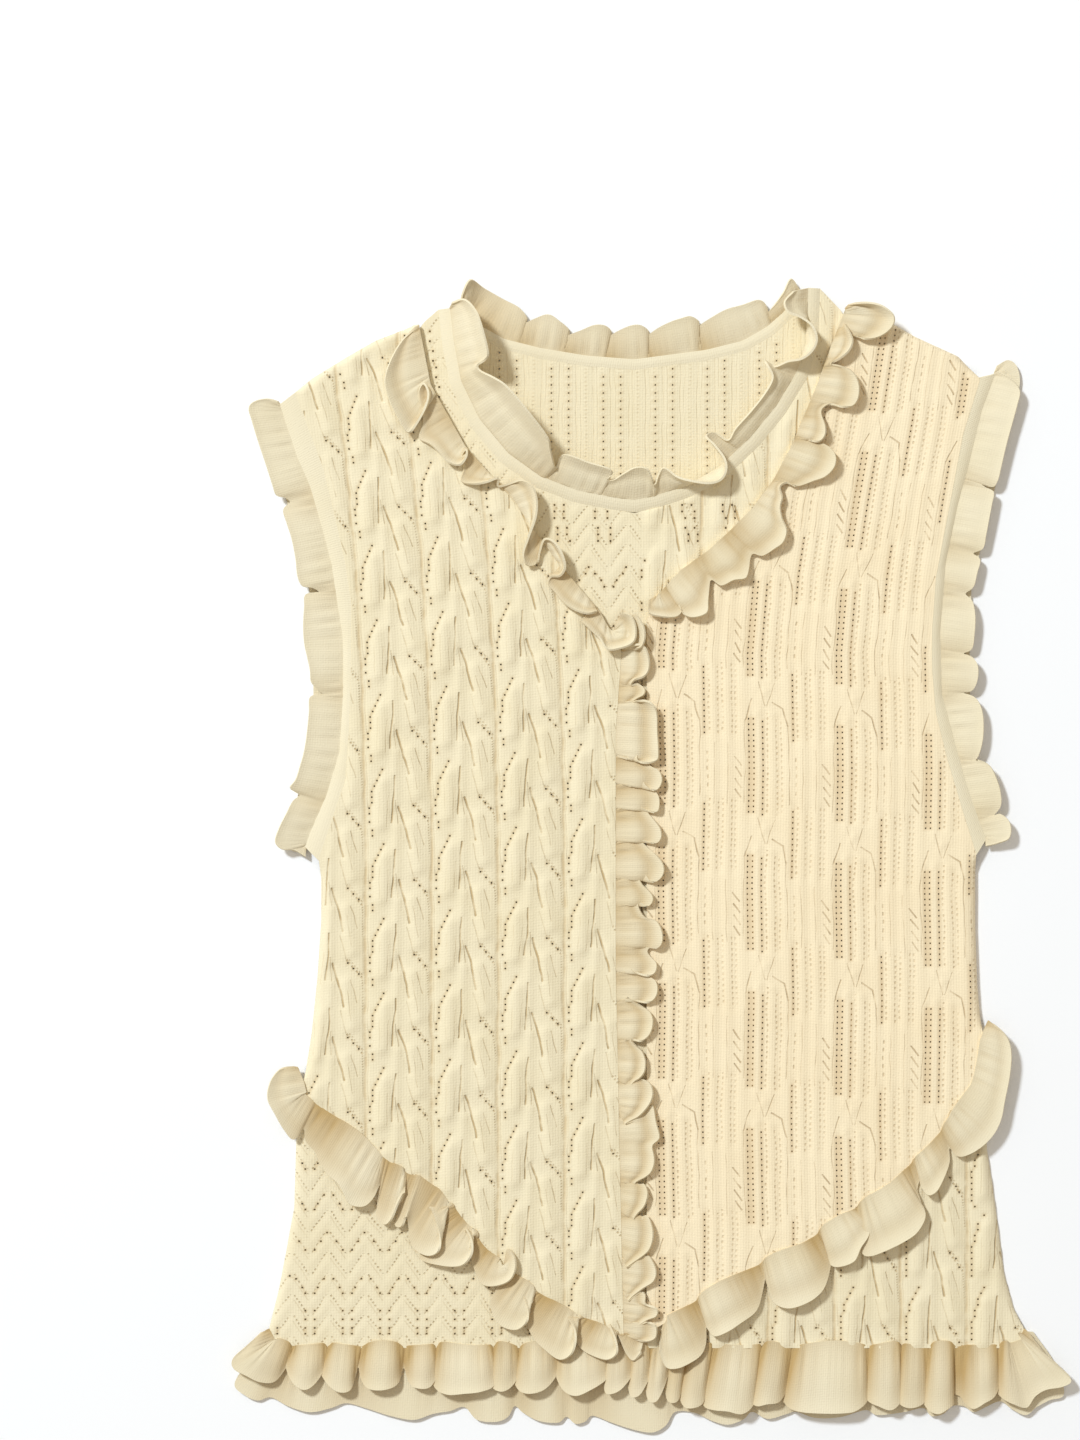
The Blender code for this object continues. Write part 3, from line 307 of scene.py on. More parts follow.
HEM_LEFT_RIM = (
    (174, -91, 0.8), (178, -93.5, 2.4), (183, -99, 3.4), (184.8, -107, 3.8), (184, -118, 3.6),
    (181.5, -131, 3.4), (179.5, -141, 3.2), (175.5, -149, 3), (169, -155.5, 2.8), (162, -159.5, 2.6),
    (157, -160, 1.8), (153, -156, 0.8), (153, -163, 2), (150, -171, 3.8), (146, -178, 4.4),
    (141.5, -180, 4.2), (138.5, -176, 3), (139, -170, 1.6), (136.5, -177, 0.8), (138, -184, 2),
    (140.3, -191, 4), (136, -199, 5), (129, -204, 5.4), (120, -208.5, 5.2), (112, -211.5, 4.4),
    (108, -210.5, 3.2), (108, -204, 1.4), (112, -198, 1), (113, -193, 2), (111, -201, 3.6),
    (107, -207, 4.4), (103.5, -214, 4.6), (96, -217, 4.4), (91.5, -216, 3.2), (92.5, -209, 1.2),
    (91.5, -217, 0.6), (88.5, -227, 3), (84, -232.5, 4.2), (77, -236.5, 4.8), (69, -238.5, 4.6),
    (62, -236, 3.6), (59, -229.5, 2.2), (58.5, -221, 0.8), (56, -231, 0.5), (54, -238, 1.8),
    (51, -242, 2.8), (45, -246, 4), (38, -250.5, 4.6), (31, -253, 4.2), (27.5, -249, 3), (27, -243, 1),
    (27, -251, 0.6), (26.5, -258, 1.8), (24, -263, 3.2), (19, -266.5, 4.2), (12, -269.5, 4.6),
    (6, -269, 4.2), (3, -262, 3), (3, -253, 1.6),
)
HEM_FRONT_RIM = (
    (196, -254, 1), (204, -264, 2.5), (212, -271, 4), (216, -276.5, 4.6), (211, -279.5, 4.8),
    (203, -281, 4.6), (197.5, -284.5, 4), (193, -290.5, 3.6), (186, -288.5, 4.5), (181, -286, 3.8),
    (178, -282, 1), (180, -277, 0.4), (176.5, -284.5, 3.4), (171, -288, 4.6), (165.5, -291, 4.4),
    (162, -289, 2.8), (158.5, -285, 0.6), (154, -284, 0.5), (155, -288.5, 2.8), (152, -291, 4.4),
    (147, -293.5, 5), (142, -291.5, 4.2), (139.5, -286, 1.2), (143.5, -282, 0.5), (140, -288, 2.8),
    (134, -290.5, 4.2), (128.5, -289.5, 4), (125.5, -285, 1), (129, -280, 0.6), (127.5, -287.5, 3.4),
    (122.5, -291.5, 5), (116, -289.5, 5), (111.5, -287.5, 3.6), (108, -283, 0.6), (111.5, -281.5, 0.4),
    (110, -287.5, 3.4), (104, -292, 5.4), (96, -293, 6), (86, -293, 6), (77, -292.5, 5.6),
    (70.5, -291, 4), (66.5, -286, 0.6), (69, -281.5, 0.4), (64.5, -287.5, 3.6), (58, -288.5, 5),
    (52.5, -289.5, 4), (49.5, -285, 0.8), (54, -281.5, 0.5), (50.5, -290, 3.8), (45, -293.5, 5.4),
    (38, -292, 5.8), (31, -291.5, 5.2), (26, -290, 3.2), (23.5, -283, 0.6), (27, -279, 0.5),
    (25, -288, 3.4), (19.5, -290.5, 4.8), (15, -289.5, 3.4), (12.5, -282, 0.6), (14.5, -278, 0.5),
    (12.5, -286, 3), (9.5, -288, 3.8), (6.5, -286, 2.2), (5.5, -277, 0.8), (7.5, -272, 0.8),
    (4.5, -281, 3.4), (1, -287, 4.6), (-3, -286.5, 4.2), (-4, -279, 1.6), (-1, -272, 1),
    (-4.5, -279, 3.2), (-8, -284, 4.4), (-12, -284.5, 4), (-13, -278, 1.6), (-9.5, -271, 1),
    (-14, -277.5, 3.4), (-19, -282, 4.6), (-25, -283, 4.2), (-25, -276, 1.6), (-22, -270, 1),
    (-25, -276, 3.6), (-33, -281, 5.2), (-41, -284, 5.6), (-47.5, -281, 4.6), (-51, -273, 1.6),
    (-47.5, -268, 0.6), (-52, -276, 2.6), (-58, -281.5, 4.4), (-66, -283, 4.8), (-71, -280.5, 3.4),
    (-72.5, -274, 0.6), (-67.5, -270, 0.4), (-73.5, -279, 3.2), (-79, -282, 4.4), (-84, -280, 3),
    (-85, -274, 0.6), (-80, -270, 0.5), (-83, -279, 3.4), (-90, -282, 5), (-99, -283, 5.2),
    (-107, -283.5, 5), (-113, -281, 3.6), (-116, -274, 0.6), (-111, -270, 0.4), (-115.5, -279, 3.6),
    (-121, -280.5, 4.6), (-126.5, -278.5, 3.2), (-129.5, -271, 0.4), (-131, -272, 0.4),
    (-133.5, -278.5, 3.6), (-140, -281, 5.2), (-148, -280.5, 4.8), (-152, -276, 2.4),
    (-153.5, -270, 0.6), (-155.5, -275, 1.6), (-158, -281.5, 4.4), (-164, -282, 5.2),
    (-169.5, -278, 4.4), (-173.5, -271, 0.8), (-169, -267, 0.5), (-175, -277, 3.4), (-181, -281, 5),
    (-187, -278, 4.6), (-191, -270, 1.4), (-188, -265, 0.5), (-193, -273, 1.2), (-198, -277.5, 3),
    (-205, -277, 4.2), (-211, -274, 4.8), (-218, -270, 4.8), (-218.5, -265, 4), (-212, -259, 2.6),
    (-204, -252, 1),
)
HEM_BACK_RIM = (
    (197, -252, 0.2), (208, -268, 0.4), (213, -284, 0.8), (205, -287.5, 1), (198.5, -291, 1.2),
    (193, -295, 1.4), (186, -292, 1), (180, -288, 0.3), (172, -291, 0.8), (166, -293.5, 1),
    (161, -290.5, 0.4), (155, -290.5, 0.4), (150, -294.5, 1.1), (144, -295.5, 1.1), (140, -291.5, 0.4),
    (130, -293.5, 0.8), (116, -295, 1), (110, -292.5, 0.4), (97, -296, 1), (84, -296.5, 1.1),
    (74, -293.5, 0.4), (69, -294.5, 0.7), (59, -297, 1.1), (51, -293.5, 0.3), (46, -297.5, 1),
    (38, -300, 1.2), (30, -298, 1), (21, -294, 0.3), (11, -293.5, 0.4), (6, -300.5, 1), (-1, -304, 1.3),
    (-11, -302.5, 1.2), (-22, -299, 0.9), (-32, -295.5, 0.3), (-36, -298.5, 1), (-41, -299.5, 1.1),
    (-45.5, -296, 0.3), (-50, -299, 1), (-60, -298, 1.1), (-68, -294, 0.4), (-72.5, -290.5, 0.2),
    (-76, -296, 0.9), (-82, -298.5, 1.2), (-92, -297.5, 1), (-98.5, -291, 0.3), (-106, -293, 0.7),
    (-115, -294.5, 0.8), (-125, -297.5, 1.2), (-137, -295.5, 1), (-150, -291.5, 0.5), (-160, -289, 0.3),
    (-168, -291.5, 0.8), (-179, -293.5, 1.2), (-190, -290.5, 0.9), (-199, -286, 0.3),
    (-206, -287.5, 0.9), (-213, -284.5, 1.1), (-218, -279, 0.9), (-212, -268, 0.5), (-205, -254, 0.2),
)
ARMHOLE_RIGHT_RIM = (
    (-181, -5, 1), (-187, -1.5, 2), (-193, -1, 3.2), (-196.5, 3, 3.8), (-194.5, 10, 3.8),
    (-190.5, 18, 3.4), (-187.5, 24, 2.2), (-184, 27, 1), (-187, 29.5, 2.4), (-189, 31, 3.2),
    (-186, 35, 3.6), (-184, 41, 3.6), (-181.5, 50, 3.4), (-180, 60, 3.2), (-179, 70, 3),
    (-178.5, 78, 2.2), (-172, 79, 0.8), (-175, 82, 2), (-178, 86, 3), (-178.5, 92, 3.2),
    (-180, 99, 3.2), (-181.5, 106, 3), (-182, 115, 3), (-181.5, 125, 2.6), (-181, 131, 1.6),
    (-174, 132, 0.7), (-177, 134.5, 2), (-182.5, 135.5, 3.2), (-185, 141, 3.4), (-186, 150, 3.2),
    (-188, 160, 3.2), (-190.5, 168, 3), (-192.5, 175, 2), (-189, 179, 0.7), (-192, 181.5, 1.8),
    (-196, 182.5, 3), (-198, 188, 3.4), (-201.5, 199, 3.4), (-205.5, 211, 3.6), (-208.5, 221, 3.8),
    (-210.2, 227.5, 3.8), (-207.5, 231, 3.4), (-201, 232.5, 2.4), (-195, 231, 1.2),
)
ARMHOLE_LEFT_RIM = (
    (178, 247, 1.2), (184, 243.5, 2.8), (189.3, 237, 3.6), (188, 229, 3.6), (185, 218, 3.4),
    (182.3, 208, 3.4), (180, 198, 3.2), (178, 190, 3), (175.5, 187, 1.8), (169, 189, 0.7),
    (172, 186.5, 1.6), (176, 184, 2.8), (175, 178, 3.2), (173.5, 170, 3.2), (172, 162, 3),
    (170.5, 155, 2.4), (165.5, 152.5, 0.7), (169, 149, 2.2), (167.3, 142, 3), (165.5, 135, 2.6),
    (161.5, 131.5, 0.8), (165, 127.5, 2.2), (166.3, 120, 3.2), (166, 111, 3), (164.8, 103, 2.2),
    (160.5, 100.5, 0.8), (165.5, 98, 2.4), (167.8, 93, 3.4), (167.3, 86, 3), (165, 81.5, 2),
    (160.5, 80, 0.8), (166.5, 77.5, 2.6), (169.8, 71, 3.4), (170.6, 61, 3.4), (169.5, 52, 3),
    (167, 45.5, 2), (163, 43.5, 0.8), (168.5, 45, 2.4), (174, 42, 3.4), (177.5, 35, 3.6),
    (179.5, 28, 3.4), (179.5, 21, 2.6), (175.5, 15.5, 0.9), (180, 17, 2.2), (184.3, 12.5, 3.6),
    (184, 5, 3.6), (178, 2, 2.6), (172, 0.5, 1.2),
)
ARMHOLE_BACK_RIGHT_RIM = (
    (-181, -4, 0.3), (-190, -1, 0.8), (-194, 4, 1), (-190, 14, 0.9), (-185, 27, 0.4), (-183, 40, 0.8),
    (-178, 58, 0.9), (-177, 80, 0.4), (-178, 98, 0.8), (-180, 115, 0.8), (-179, 132, 0.4),
    (-184, 150, 0.9), (-188, 166, 0.8), (-191, 180, 0.4), (-197, 192, 0.8), (-203, 210, 1),
    (-208, 226, 1), (-203, 230, 0.8), (-196, 231, 0.3),
)
ARMHOLE_BACK_LEFT_RIM = (
    (178, 250, 0.3), (184, 253, 0.8), (188.5, 249.5, 1), (190, 241, 1), (187, 228, 0.8),
    (184, 217, 0.8), (180, 200, 0.6), (177, 186, 0.4), (173, 170, 0.8), (169, 152, 0.8),
    (165, 135, 0.4), (165, 118, 0.8), (164, 100, 0.4), (166, 88, 0.8), (164, 80, 0.3), (169, 64, 0.9),
    (167, 48, 0.5), (173, 40, 0.8), (177, 28, 1), (176, 18, 0.5), (181, 8, 1), (176, 2, 0.8),
    (172, 1, 0.3),
)

# Soft creases across the whole garment: from, to, height, width
CREASES = (
    (-150, 40, -110, 110, 0.8, 12), (-60, -60, -75, 60, 0.5, 16), (120, 20, 90, 120, 0.7, 12),
    (-150, -90, -100, -120, 0.6, 14), (60, -80, 75, 40, 0.5, 15), (130, -120, 90, -60, 0.6, 13),
)

# Leaf lace. Places in it are (u, v): u counts across its columns and v up them, from one leaf's tip.
# Strokes are ridges and grooves: from u, v, to u, v, height and width
LEAF_START = (-112.4, 43.9)
LEAF_SLANT = 0.125            # each column's leaves sit higher than its left neighbour's
LEAF_LEAN = ((0, 0), (60, 1), (100, 2.5), (150, 5.5), (200, 10), (250, 16), (300, 22))
LEAF_WALES = 24
LEAF_COURSES = 27
LEAF_SPARE = (5, 25)          # how far its columns go on beyond the panel's box, since they lean
LEAF_STROKES = (
    (6.6, -7.0, 5.6, -28.0, 1.5, 3.8), (13.2, 8.0, 12.4, -20.0, 0.8, 2.0),
    (21.0, 7.8, 24.6, -15.0, 1.2, 3.2), (12.6, -5.0, 10.7, -27.0, -0.6, 0.9),
    (14.6, 18.0, 19.8, -4.0, -0.9, 1.0), (21.8, 19.6, 29.0, 9.4, -0.6, 1.0),
    (31.2, -19.2, 31.2, 19.2, -0.8, 1.5), (6.8, 0.0, 2.2, -8.6, -0.5, 1.0),
    (2.2, -8.6, 0.2, -18.0, -0.5, 1.0), (0.2, -18.0, 0.2, -33.0, -0.5, 1.0),
)
LEAF_EYELETS = ((6.8, 0.0), (5.1, -2.9), (3.3, -5.7), (2.1, -8.6), (1.3, -11.4), (0.8, -14.3),
                (0.3, -17.2), (0.0, -20.0), (-0.2, -22.9), (-0.3, -25.8), (-0.2, -28.6),
                (0.2, -31.5), (0.9, -34.3), (22.4, 18.6), (25.2, 14.8), (28.0, 11.0))

# Its fine furrows, with painted shade: from u, v, to u, v, width, depth and the length of a dash (0 where
# it is whole)
LEAF_FURROWS = (
    (12.7, -4.0, 10.8, -28.0, 0.7, 0.9, 0), (14.4, 18.8, 17.3, 9.0, 0.8, 1.0, 0),
    (17.3, 9.0, 19.9, -4.0, 0.8, 1.0, 0), (21.6, 20.2, 29.3, 9.0, 0.8, 0.8, 2.1),
    (23.6, 19.4, 30.4, 9.4, 0.6, 0.5, 2.1), (24.0, 8.4, 27.2, -3.0, 0.5, 0.5, 0),
    (31.3, -19.2, 31.3, 19.2, 1.5, 0.6, 0), (29.6, 9.0, 30.4, -8.0, 0.8, 0.5, 1.4),
    (18.6, -6.0, 21.8, -19.0, 0.5, 0.35, 0), (8.4, -30.0, 9.2, -14.0, 0.45, 0.25, 0),
    (22.0, 4.0, 24.6, -12.0, 0.45, 0.3, 0), (13.0, 22.0, 14.2, 10.0, 0.5, 0.4, 0),
    (4.6, -12.0, 4.2, -28.0, 0.45, 0.2, 0), (33.0, -19.2, 32.6, 8.0, 0.45, 0.3, 0),
)

# Rib and ladder lace, over two groups, the second half a length above the first
RIB_START = (-0.1, -263.5)
RIB_SLANT = -0.09
RIB_LEAN = ((-260, 0.4), (-200, -0.5), (-140, 0.6), (-80, -0.4), (-20, 0.5), (40, -0.6), (100, 0.3),
            (140, -3), (180, -9), (220, -16), (300, -28))
RIB_GROUPS = range(-2, 9)
LADDERS = (4.0, 11.2)         # the middles of the ladders whose holes are open
RUNG = 1.25                   # how far the holes stand from them
RIB_COLUMNS = (0.0, 2.1, 3.4, 4.6, 5.9, 7.6, 9.3, 10.6, 11.8, 13.1, 14.8, 16.5, 17.8, 19.0, 20.6)
EYELET_PITCH = 2.84
FIRST_HOLES = (2.0, 18)       # where the first group's open holes start, and how many a column has
SECOND_HOLES = (6.0, 13)      # and the second group's
RIB_STROKES = (
    (4.0, 2.0, 4.0, 52.0, -0.3, 1.5), (11.2, 2.0, 11.2, 54.0, -0.3, 1.5),
    (18.4, 2.0, 18.4, 52.0, -0.3, 1.5), (0.0, -10.0, 0.0, 60.0, 0.45, 1.4),
    (7.6, -4.0, 7.6, 54.0, 0.45, 1.3), (14.8, -4.0, 14.8, 54.0, 0.45, 1.3),
    (7.6, 54.0, 10.6, 66.0, 0.3, 1.2), (14.8, 54.0, 12.2, 66.0, 0.3, 1.2),
    (11.4, 64.0, 11.4, 71.0, 0.3, 1.5), (23.0, 0.0, 23.0, 71.0, 0.45, 1.4),
    (30.6, 0.0, 30.6, 71.0, 0.5, 2.0), (37.8, 0.0, 37.8, 71.0, 0.5, 2.0),
    (27.0, 41.5, 27.0, 78.5, -0.3, 1.5), (34.2, 41.5, 34.2, 78.5, -0.3, 1.5),
    (41.4, 41.5, 41.4, 78.5, -0.3, 1.5),
)
RIB_EYELETS = tuple(
    (ladder + side * RUNG, FIRST_HOLES[0] + n * EYELET_PITCH)
    for ladder, side in ((LADDERS[0], -1), (LADDERS[0], 1), (LADDERS[1], -1))
    for n in range(FIRST_HOLES[1]))
RIB_EYELETS += tuple(
    (RIB_GROUP_WIDTH + LADDERS[0] - RUNG, RIB_LENGTH / 2 + SECOND_HOLES[0] + n * EYELET_PITCH)
    for n in range(SECOND_HOLES[1]))
RIB_FURROWS = (
    (4.0, 2.0, 4.0, 52.0, 2.0, 0.12, 0), (11.2, 2.0, 11.2, 54.0, 2.0, 0.1, 0),
    (18.4, 2.0, 18.4, 52.0, 2.0, 0.1, 0), (12.4, 2.0, 12.4, 54.0, 0.8, 0.65, 2.84),
    (17.3, 2.0, 17.3, 52.0, 0.8, 0.6, 2.84), (19.6, 2.0, 19.6, 50.0, 0.8, 0.5, 2.84),
    (23.3, 8.0, 23.3, 48.0, 0.5, 0.5, 0), (23.3, 48.0, 21.0, 57.0, 0.6, 0.8, 0),
    (21.0, 57.0, 15.5, 60.0, 0.6, 0.8, 0), (0.9, 6.0, 0.9, 50.0, 0.5, 0.4, 0),
    (0.9, 50.0, 4.5, 61.0, 0.6, 0.6, 0), (11.6, 58.0, 8.0, 70.0, 0.5, 0.5, 0),
    (12.6, 58.0, 16.5, 70.0, 0.5, 0.5, 0), (27.0, 41.5, 27.0, 78.5, 1.9, 0.12, 0),
    (28.2, 41.5, 28.2, 78.5, 0.8, 0.6, 2.84), (33.0, 41.5, 33.0, 76.5, 0.8, 0.55, 2.84),
    (35.4, 43.5, 35.4, 78.5, 0.8, 0.5, 2.84), (40.4, 41.5, 40.4, 78.5, 0.8, 0.5, 2.84),
    (42.4, 41.5, 42.4, 78.5, 0.8, 0.45, 2.84), (30.6, 76.0, 30.6, 108.0, 0.5, 0.3, 0),
    (37.8, 76.0, 37.8, 108.0, 0.5, 0.3, 0), (41.2, 101.5, 44.6, 97.0, 0.6, 0.9, 0),
    (41.6, 95.5, 45.0, 91.0, 0.6, 0.9, 0), (41.8, 89.5, 45.2, 85.0, 0.6, 0.9, 0),
    (42.0, 84.0, 45.0, 80.0, 0.6, 0.8, 0), (27.0, 82.0, 27.0, 103.0, 0.7, 0.6, 4.2),
)

# Zigzag lace of the inner front, from the lowest point of a V
CHEVRON_START = (-178.7, -190.4)
CHEVRON_WIDTH = 19.4
CHEVRON_STEP = 10.8
CHEVRON_SLOPE = 1.4
CHEVRON_HEIGHT = 0.2
CHEVRON_WALES = 12
CHEVRON_HOLE_STEP = 1.617     # its holes are this far apart across, five up either side of a V
CHEVRON_EYELETS = tuple(
    (side * CHEVRON_HOLE_STEP * n, CHEVRON_HOLE_STEP * n * CHEVRON_SLOPE)
    for side in (-1, 1) for n in range(1, 6))
CHEVRON_FURROWS = ((-9.7, 13.6, 0.0, 0.0, 0.7, 0.7, 2.1), (0.0, 0.0, 9.7, 13.6, 0.7, 0.7, 2.1),
                   (-9.7, 10.6, 0.0, -3.0, 0.5, 0.25, 0))
LEAVES_FROM = 172.0           # from here on, counted from the start, the inner front has leaves instead
INNER_COLUMNS = (-25, 400)    # from where to where it has columns, counted the same way
INNER_ROWS = ((-300, -105, 1.5), (-105, 95, 9.0), (95, 300, 1.7))   # (from, to, step), coarse if hidden
HEM_HOLES_TOP = -240.0        # below this its holes stand in pairs under each point of the zigzag
HEM_HOLES = range(-1, 9)
HEM_HOLE_ROWS = 4
HEM_HOLE_STEP = 4.05
HEM_HOLE_SIDE = 2.4
NECK_HOLES_LOW = 152.0        # above this they stand in short columns below the neck
NECK_HOLE_COLUMNS = (-52, -47, -31, -25, 15, 20, 36, 41)
NECK_HOLE_ROWS = (178.0, 174.8, 171.6, 168.4, 165.2, 162.0, 158.8)
NECK_HOLE_LEVEL = 176         # the height at which a column stands at its stated place
NECK_HOLE_LEAN = 0.15
NECK_SIDE_HOLE = (-111.5, 234.0)   # the lowest of those beside the neck, at the right shoulder
NECK_SIDE_STEP = (-0.8, 4.8)
NECK_SIDE_HOLES = 8

# Fine ladders of the back
BACK_LADDERS = range(-24, 25)
BACK_LADDER = 9.0
BACK_PITCH = 4.2
BACK_COLUMNS = (0.0, 1.2, 3.6, 6.0)
BACK_EYELETS = ((0.6, 1.4), (9.6, 1.4))
BACK_ROWS = ((-300, 160, BACK_PITCH / 2), (160, 300, BACK_PITCH / 3))   # (from, to, step)
BACK_RELIEF = 0.2
BACK_FURROWS = ((0.6, -2.1, 0.6, 2.1, 1.2, 0.25, 2.1), (4.6, -2.1, 4.6, 2.1, 0.5, 0.25, 0),
                (6.8, -2.1, 6.8, 2.1, 0.4, 0.2, 0))

# The cut of each cloth that shows: width, length and area when it was flat, and what it lies on
Cut = namedtuple("Cut", "width length area held on")

# Finish
# Each cloth's cream, the deeper cream of its uneven dye, and the tan of its painted shade
CREAM_TONES = ((0.88, 0.78, 0.55, 1.0), (0.84, 0.73, 0.48, 1.0), (0.55, 0.37, 0.15, 1.0))
WARM_TONES = ((0.96, 0.82, 0.57, 1.0), (0.92, 0.76, 0.50, 1.0), (0.62, 0.42, 0.20, 1.0))
SMOOTH_TONES = ((0.86, 0.77, 0.56, 1.0), (0.81, 0.71, 0.48, 1.0), (0.52, 0.35, 0.14, 1.0))
ROUGHNESS = 0.92
SHINE = 0.2
FLUFF = 0.1
FLUFF_ROUGHNESS = 0.5
WALE_DEPTH = 0.05             # depths of the bump, in millimetres
COURSE_DEPTH = 0.03
YARN_DEPTH = 0.18
FURROW_DEPTH = 0.5
WALE_SWAY = 0.6               # how unevenly wales and courses run
COURSE_SWAY = 1.2
SWAY = 1.6                    # how far noise pushes a lace's furrows about, in millimetres
FURROW_PAINTED_SHADE = 0.85            # how much painted shade, in the shadow's colour, the furrows, the eyelets' rims and the ruffles' troughs take
EYELET_PAINTED_SHADE = 0.35
HOLLOW_PAINTED_SHADE = 0.95
DASH_SHARE = (-0.4, 0.7)      # where on its wave a dash starts, and where it is full
WAVE_OF_A_MILLIMETRE = 0.31416     # the wave texture's scale for waves of one millimetre

# Noises: how fine each is, and the range of it that is used
Grain = namedtuple("Grain", "scale detail low high", defaults=(0.0, 1.0))
DYE = Grain(0.03, 3.0, 0.35, 0.75)
YARN = Grain(0.9, 4.0)
DRIFT = Grain(0.05, 2.0)
# how unevenly the furrows are pressed in and darkened with painted shade
UNEVEN_FURROWS = Grain(0.12, 3.0, 0.3, 0.62)
DYE_SPREAD = 0.5              # how far the dye goes towards the deeper cream
FAINTEST_FURROW = 0.35             # how deep the faintest furrow is, as a share

# Stage, in metres but for the photo's own sizes
PAPER = (0.985, 0.99, 1.0, 1.0)
PAPER_ROUGHNESS = 0.9
FLOOR_SIZE = 6.0
FLOOR_Z = -0.0002
SKY_TONE = (1.0, 0.93, 0.83, 1.0)
SKY = 0.485
LAMP_AT = (-3.1, 3.1, 4.7)
LAMP_SIZE = 0.9
LAMP_POWER = 338.0
LAMP_COLOUR = (0.86, 0.93, 1.0)
SENSOR = 36.0                 # millimetres
CAMERA_HEIGHT = 2.0
CAMERA_REACH = 20.0
PHOTO_TALL = 748.8            # millimetres of floor that the photo shows from top to bottom
PHOTO_MIDDLE = (-59.3, 66.0)  # the place in the middle of the photo


def at(points):
    """Points of the tables, in metres about the garment's middle."""
    return (np.asarray(points, dtype=float) - (MIDDLE_X, MIDDLE_Y, 0.0)) * MM


def x_at(line, y):
    """Where a line that only climbs crosses the heights y."""
    return np.interp(y, [p[1] for p in line], [p[0] for p in line])


def inset(line, distance):
    """The line moved sideways by a distance, to the right of its direction."""
    points = np.array(line, dtype=float)
    along = np.gradient(points, axis=0)
    along /= np.linalg.norm(along, axis=1)[:, None]
    across = np.stack([along[:, 1], -along[:, 0]], axis=1)
    return [tuple(p) for p in points + across * distance]


def climbing(line):
    """The points of a line, less those that fall back down, so that x_at can read it."""
    kept = [line[0]]
    for point in line[1:]:
        if point[1] > kept[-1][1]:
            kept.append(point)
    return tuple(kept)


def measured(line):
    """The lengths along a line at its points."""
    steps = np.linalg.norm(np.diff(np.array(line, dtype=float), axis=0), axis=1)
    return np.concatenate([[0.0], np.cumsum(steps)])


def point_at(line, length):
    """The points at lengths along a line."""
    lengths = measured(line)
    return np.stack([np.interp(length, lengths, [p[k] for p in line]) for k in (0, 1)], axis=-1)


def above(line, y):
    """The points of a line that lie higher than y."""
    return tuple(p for p in line if p[1] > y)


def lattice(low, high, pitch, start):
    """Places a pitch apart, counted from start, between low and high, with both ends."""
    counts = np.arange(math.ceil((low - start) / pitch), math.floor((high - start) / pitch) + 1)
    inner = start + counts * pitch
    return np.concatenate([[low], inner[(inner > low + ROW_CLEAR) & (inner < high - ROW_CLEAR)], [high]])


def close_cloth(name, patches, painted_shades=None):
    """One closed cloth from patches of (upper points, lower points, cells kept, map places).

    Its attribute of painted shade is 1 round eyelets, or else as the given shares say.
    """
    for upper, lower, kept, _ in patches:
        tighten(upper, kept)
        tighten(lower, kept)
    uppers = np.concatenate([p[0].reshape(-1, 3) for p in patches])
    lowers = np.concatenate([p[1].reshape(-1, 3) for p in patches])
    places = np.concatenate([p[3].reshape(-1, 2) for p in patches])
    _, first, known = np.unique(np.round(uppers, 3), axis=0, return_index=True, return_inverse=True)
    known = known.reshape(-1)
    faces, done = [], 0
    for upper, _, kept, _ in patches:
        ids = known[done:done + upper.shape[0] * upper.shape[1]].reshape(upper.shape[:2])
        done += ids.size
        rings = np.stack([ids[:-1, :-1], ids[:-1, 1:], ids[1:, 1:], ids[1:, :-1]], axis=-1)[kept]
        for ring in rings.tolist():
            ring = [c for n, c in enumerate(ring) if c != ring[n - 1]]
            if len(set(ring)) > 2:
                faces.append(ring)
    used = {(ring[n - 1], ring[n]) for ring in faces for n in range(len(ring))}
    rims = [(a, b) for a, b in used if (b, a) not in used]
    count = len(first)
    under = [[c + count for c in reversed(ring)] for ring in faces]
    edges = [[b, a, a + count, b + count] for a, b in sorted(rims)]
    mesh = bpy.data.meshes.new(name)
    mesh.from_pydata(at(np.concatenate([uppers[first], lowers[first]])), [], faces + under + edges)
    mesh.validate()
    corners = np.zeros(len(mesh.loops), dtype=int)
    mesh.loops.foreach_get("vertex_index", corners)
    cloth_map = mesh.uv_layers.new(name="cloth")
    spread = places[first][corners % count]
    cloth_map.data.foreach_set("uv", spread.reshape(-1))
    # Painted shade, by which the cloth's material darkens its colour
    painted_shade = mesh.attributes.new("painted_shade", "FLOAT", "POINT")
    shade = open_corners(patches)[first] if painted_shades is None else painted_shades.reshape(-1)[first]
    painted_shade.data.foreach_set("value", np.tile(shade, 2))
    piece = bpy.data.objects.new(name, mesh)
    bpy.context.scene.collection.objects.link(piece)
    for thing in bpy.context.selected_objects:
        thing.select_set(False)
    piece.select_set(True)
    bpy.context.view_layer.objects.active = piece
    bpy.ops.object.shade_smooth_by_angle(angle=SHARP_EDGE)
    loosen(mesh)
    return piece


def tighten(points, kept):
    """Draws the corners of each open cell in, so that the eyelets are smaller than a cell."""
    for r, c in np.argwhere(~kept):
        corners = points[r:r + 2, c:c + 2, :2].reshape(4, 2)
        drawn = corners + (corners.mean(axis=0) - corners) * EYELET_DRAWN
        points[r:r + 2, c:c + 2, :2] = drawn.reshape(2, 2, 2)


def open_corners(patches):
    """Painted shade round the eyelets: 1 at the corners of open cells, 0 elsewhere."""
    marks = []
    for _, _, kept, _ in patches:
        mark = np.zeros((kept.shape[0] + 1, kept.shape[1] + 1))
        for r, c in np.argwhere(~kept):
            mark[r:r + 2, c:c + 2] = 1.0
        marks.append(mark.reshape(-1))
    return np.concatenate(marks)


def loosen(mesh):
    """Drops points that no face uses."""
    shape = bmesh.new()
    shape.from_mesh(mesh)
    bmesh.ops.delete(shape, geom=[v for v in shape.verts if not v.link_faces], context="VERTS")
    shape.to_mesh(mesh)
    shape.free()


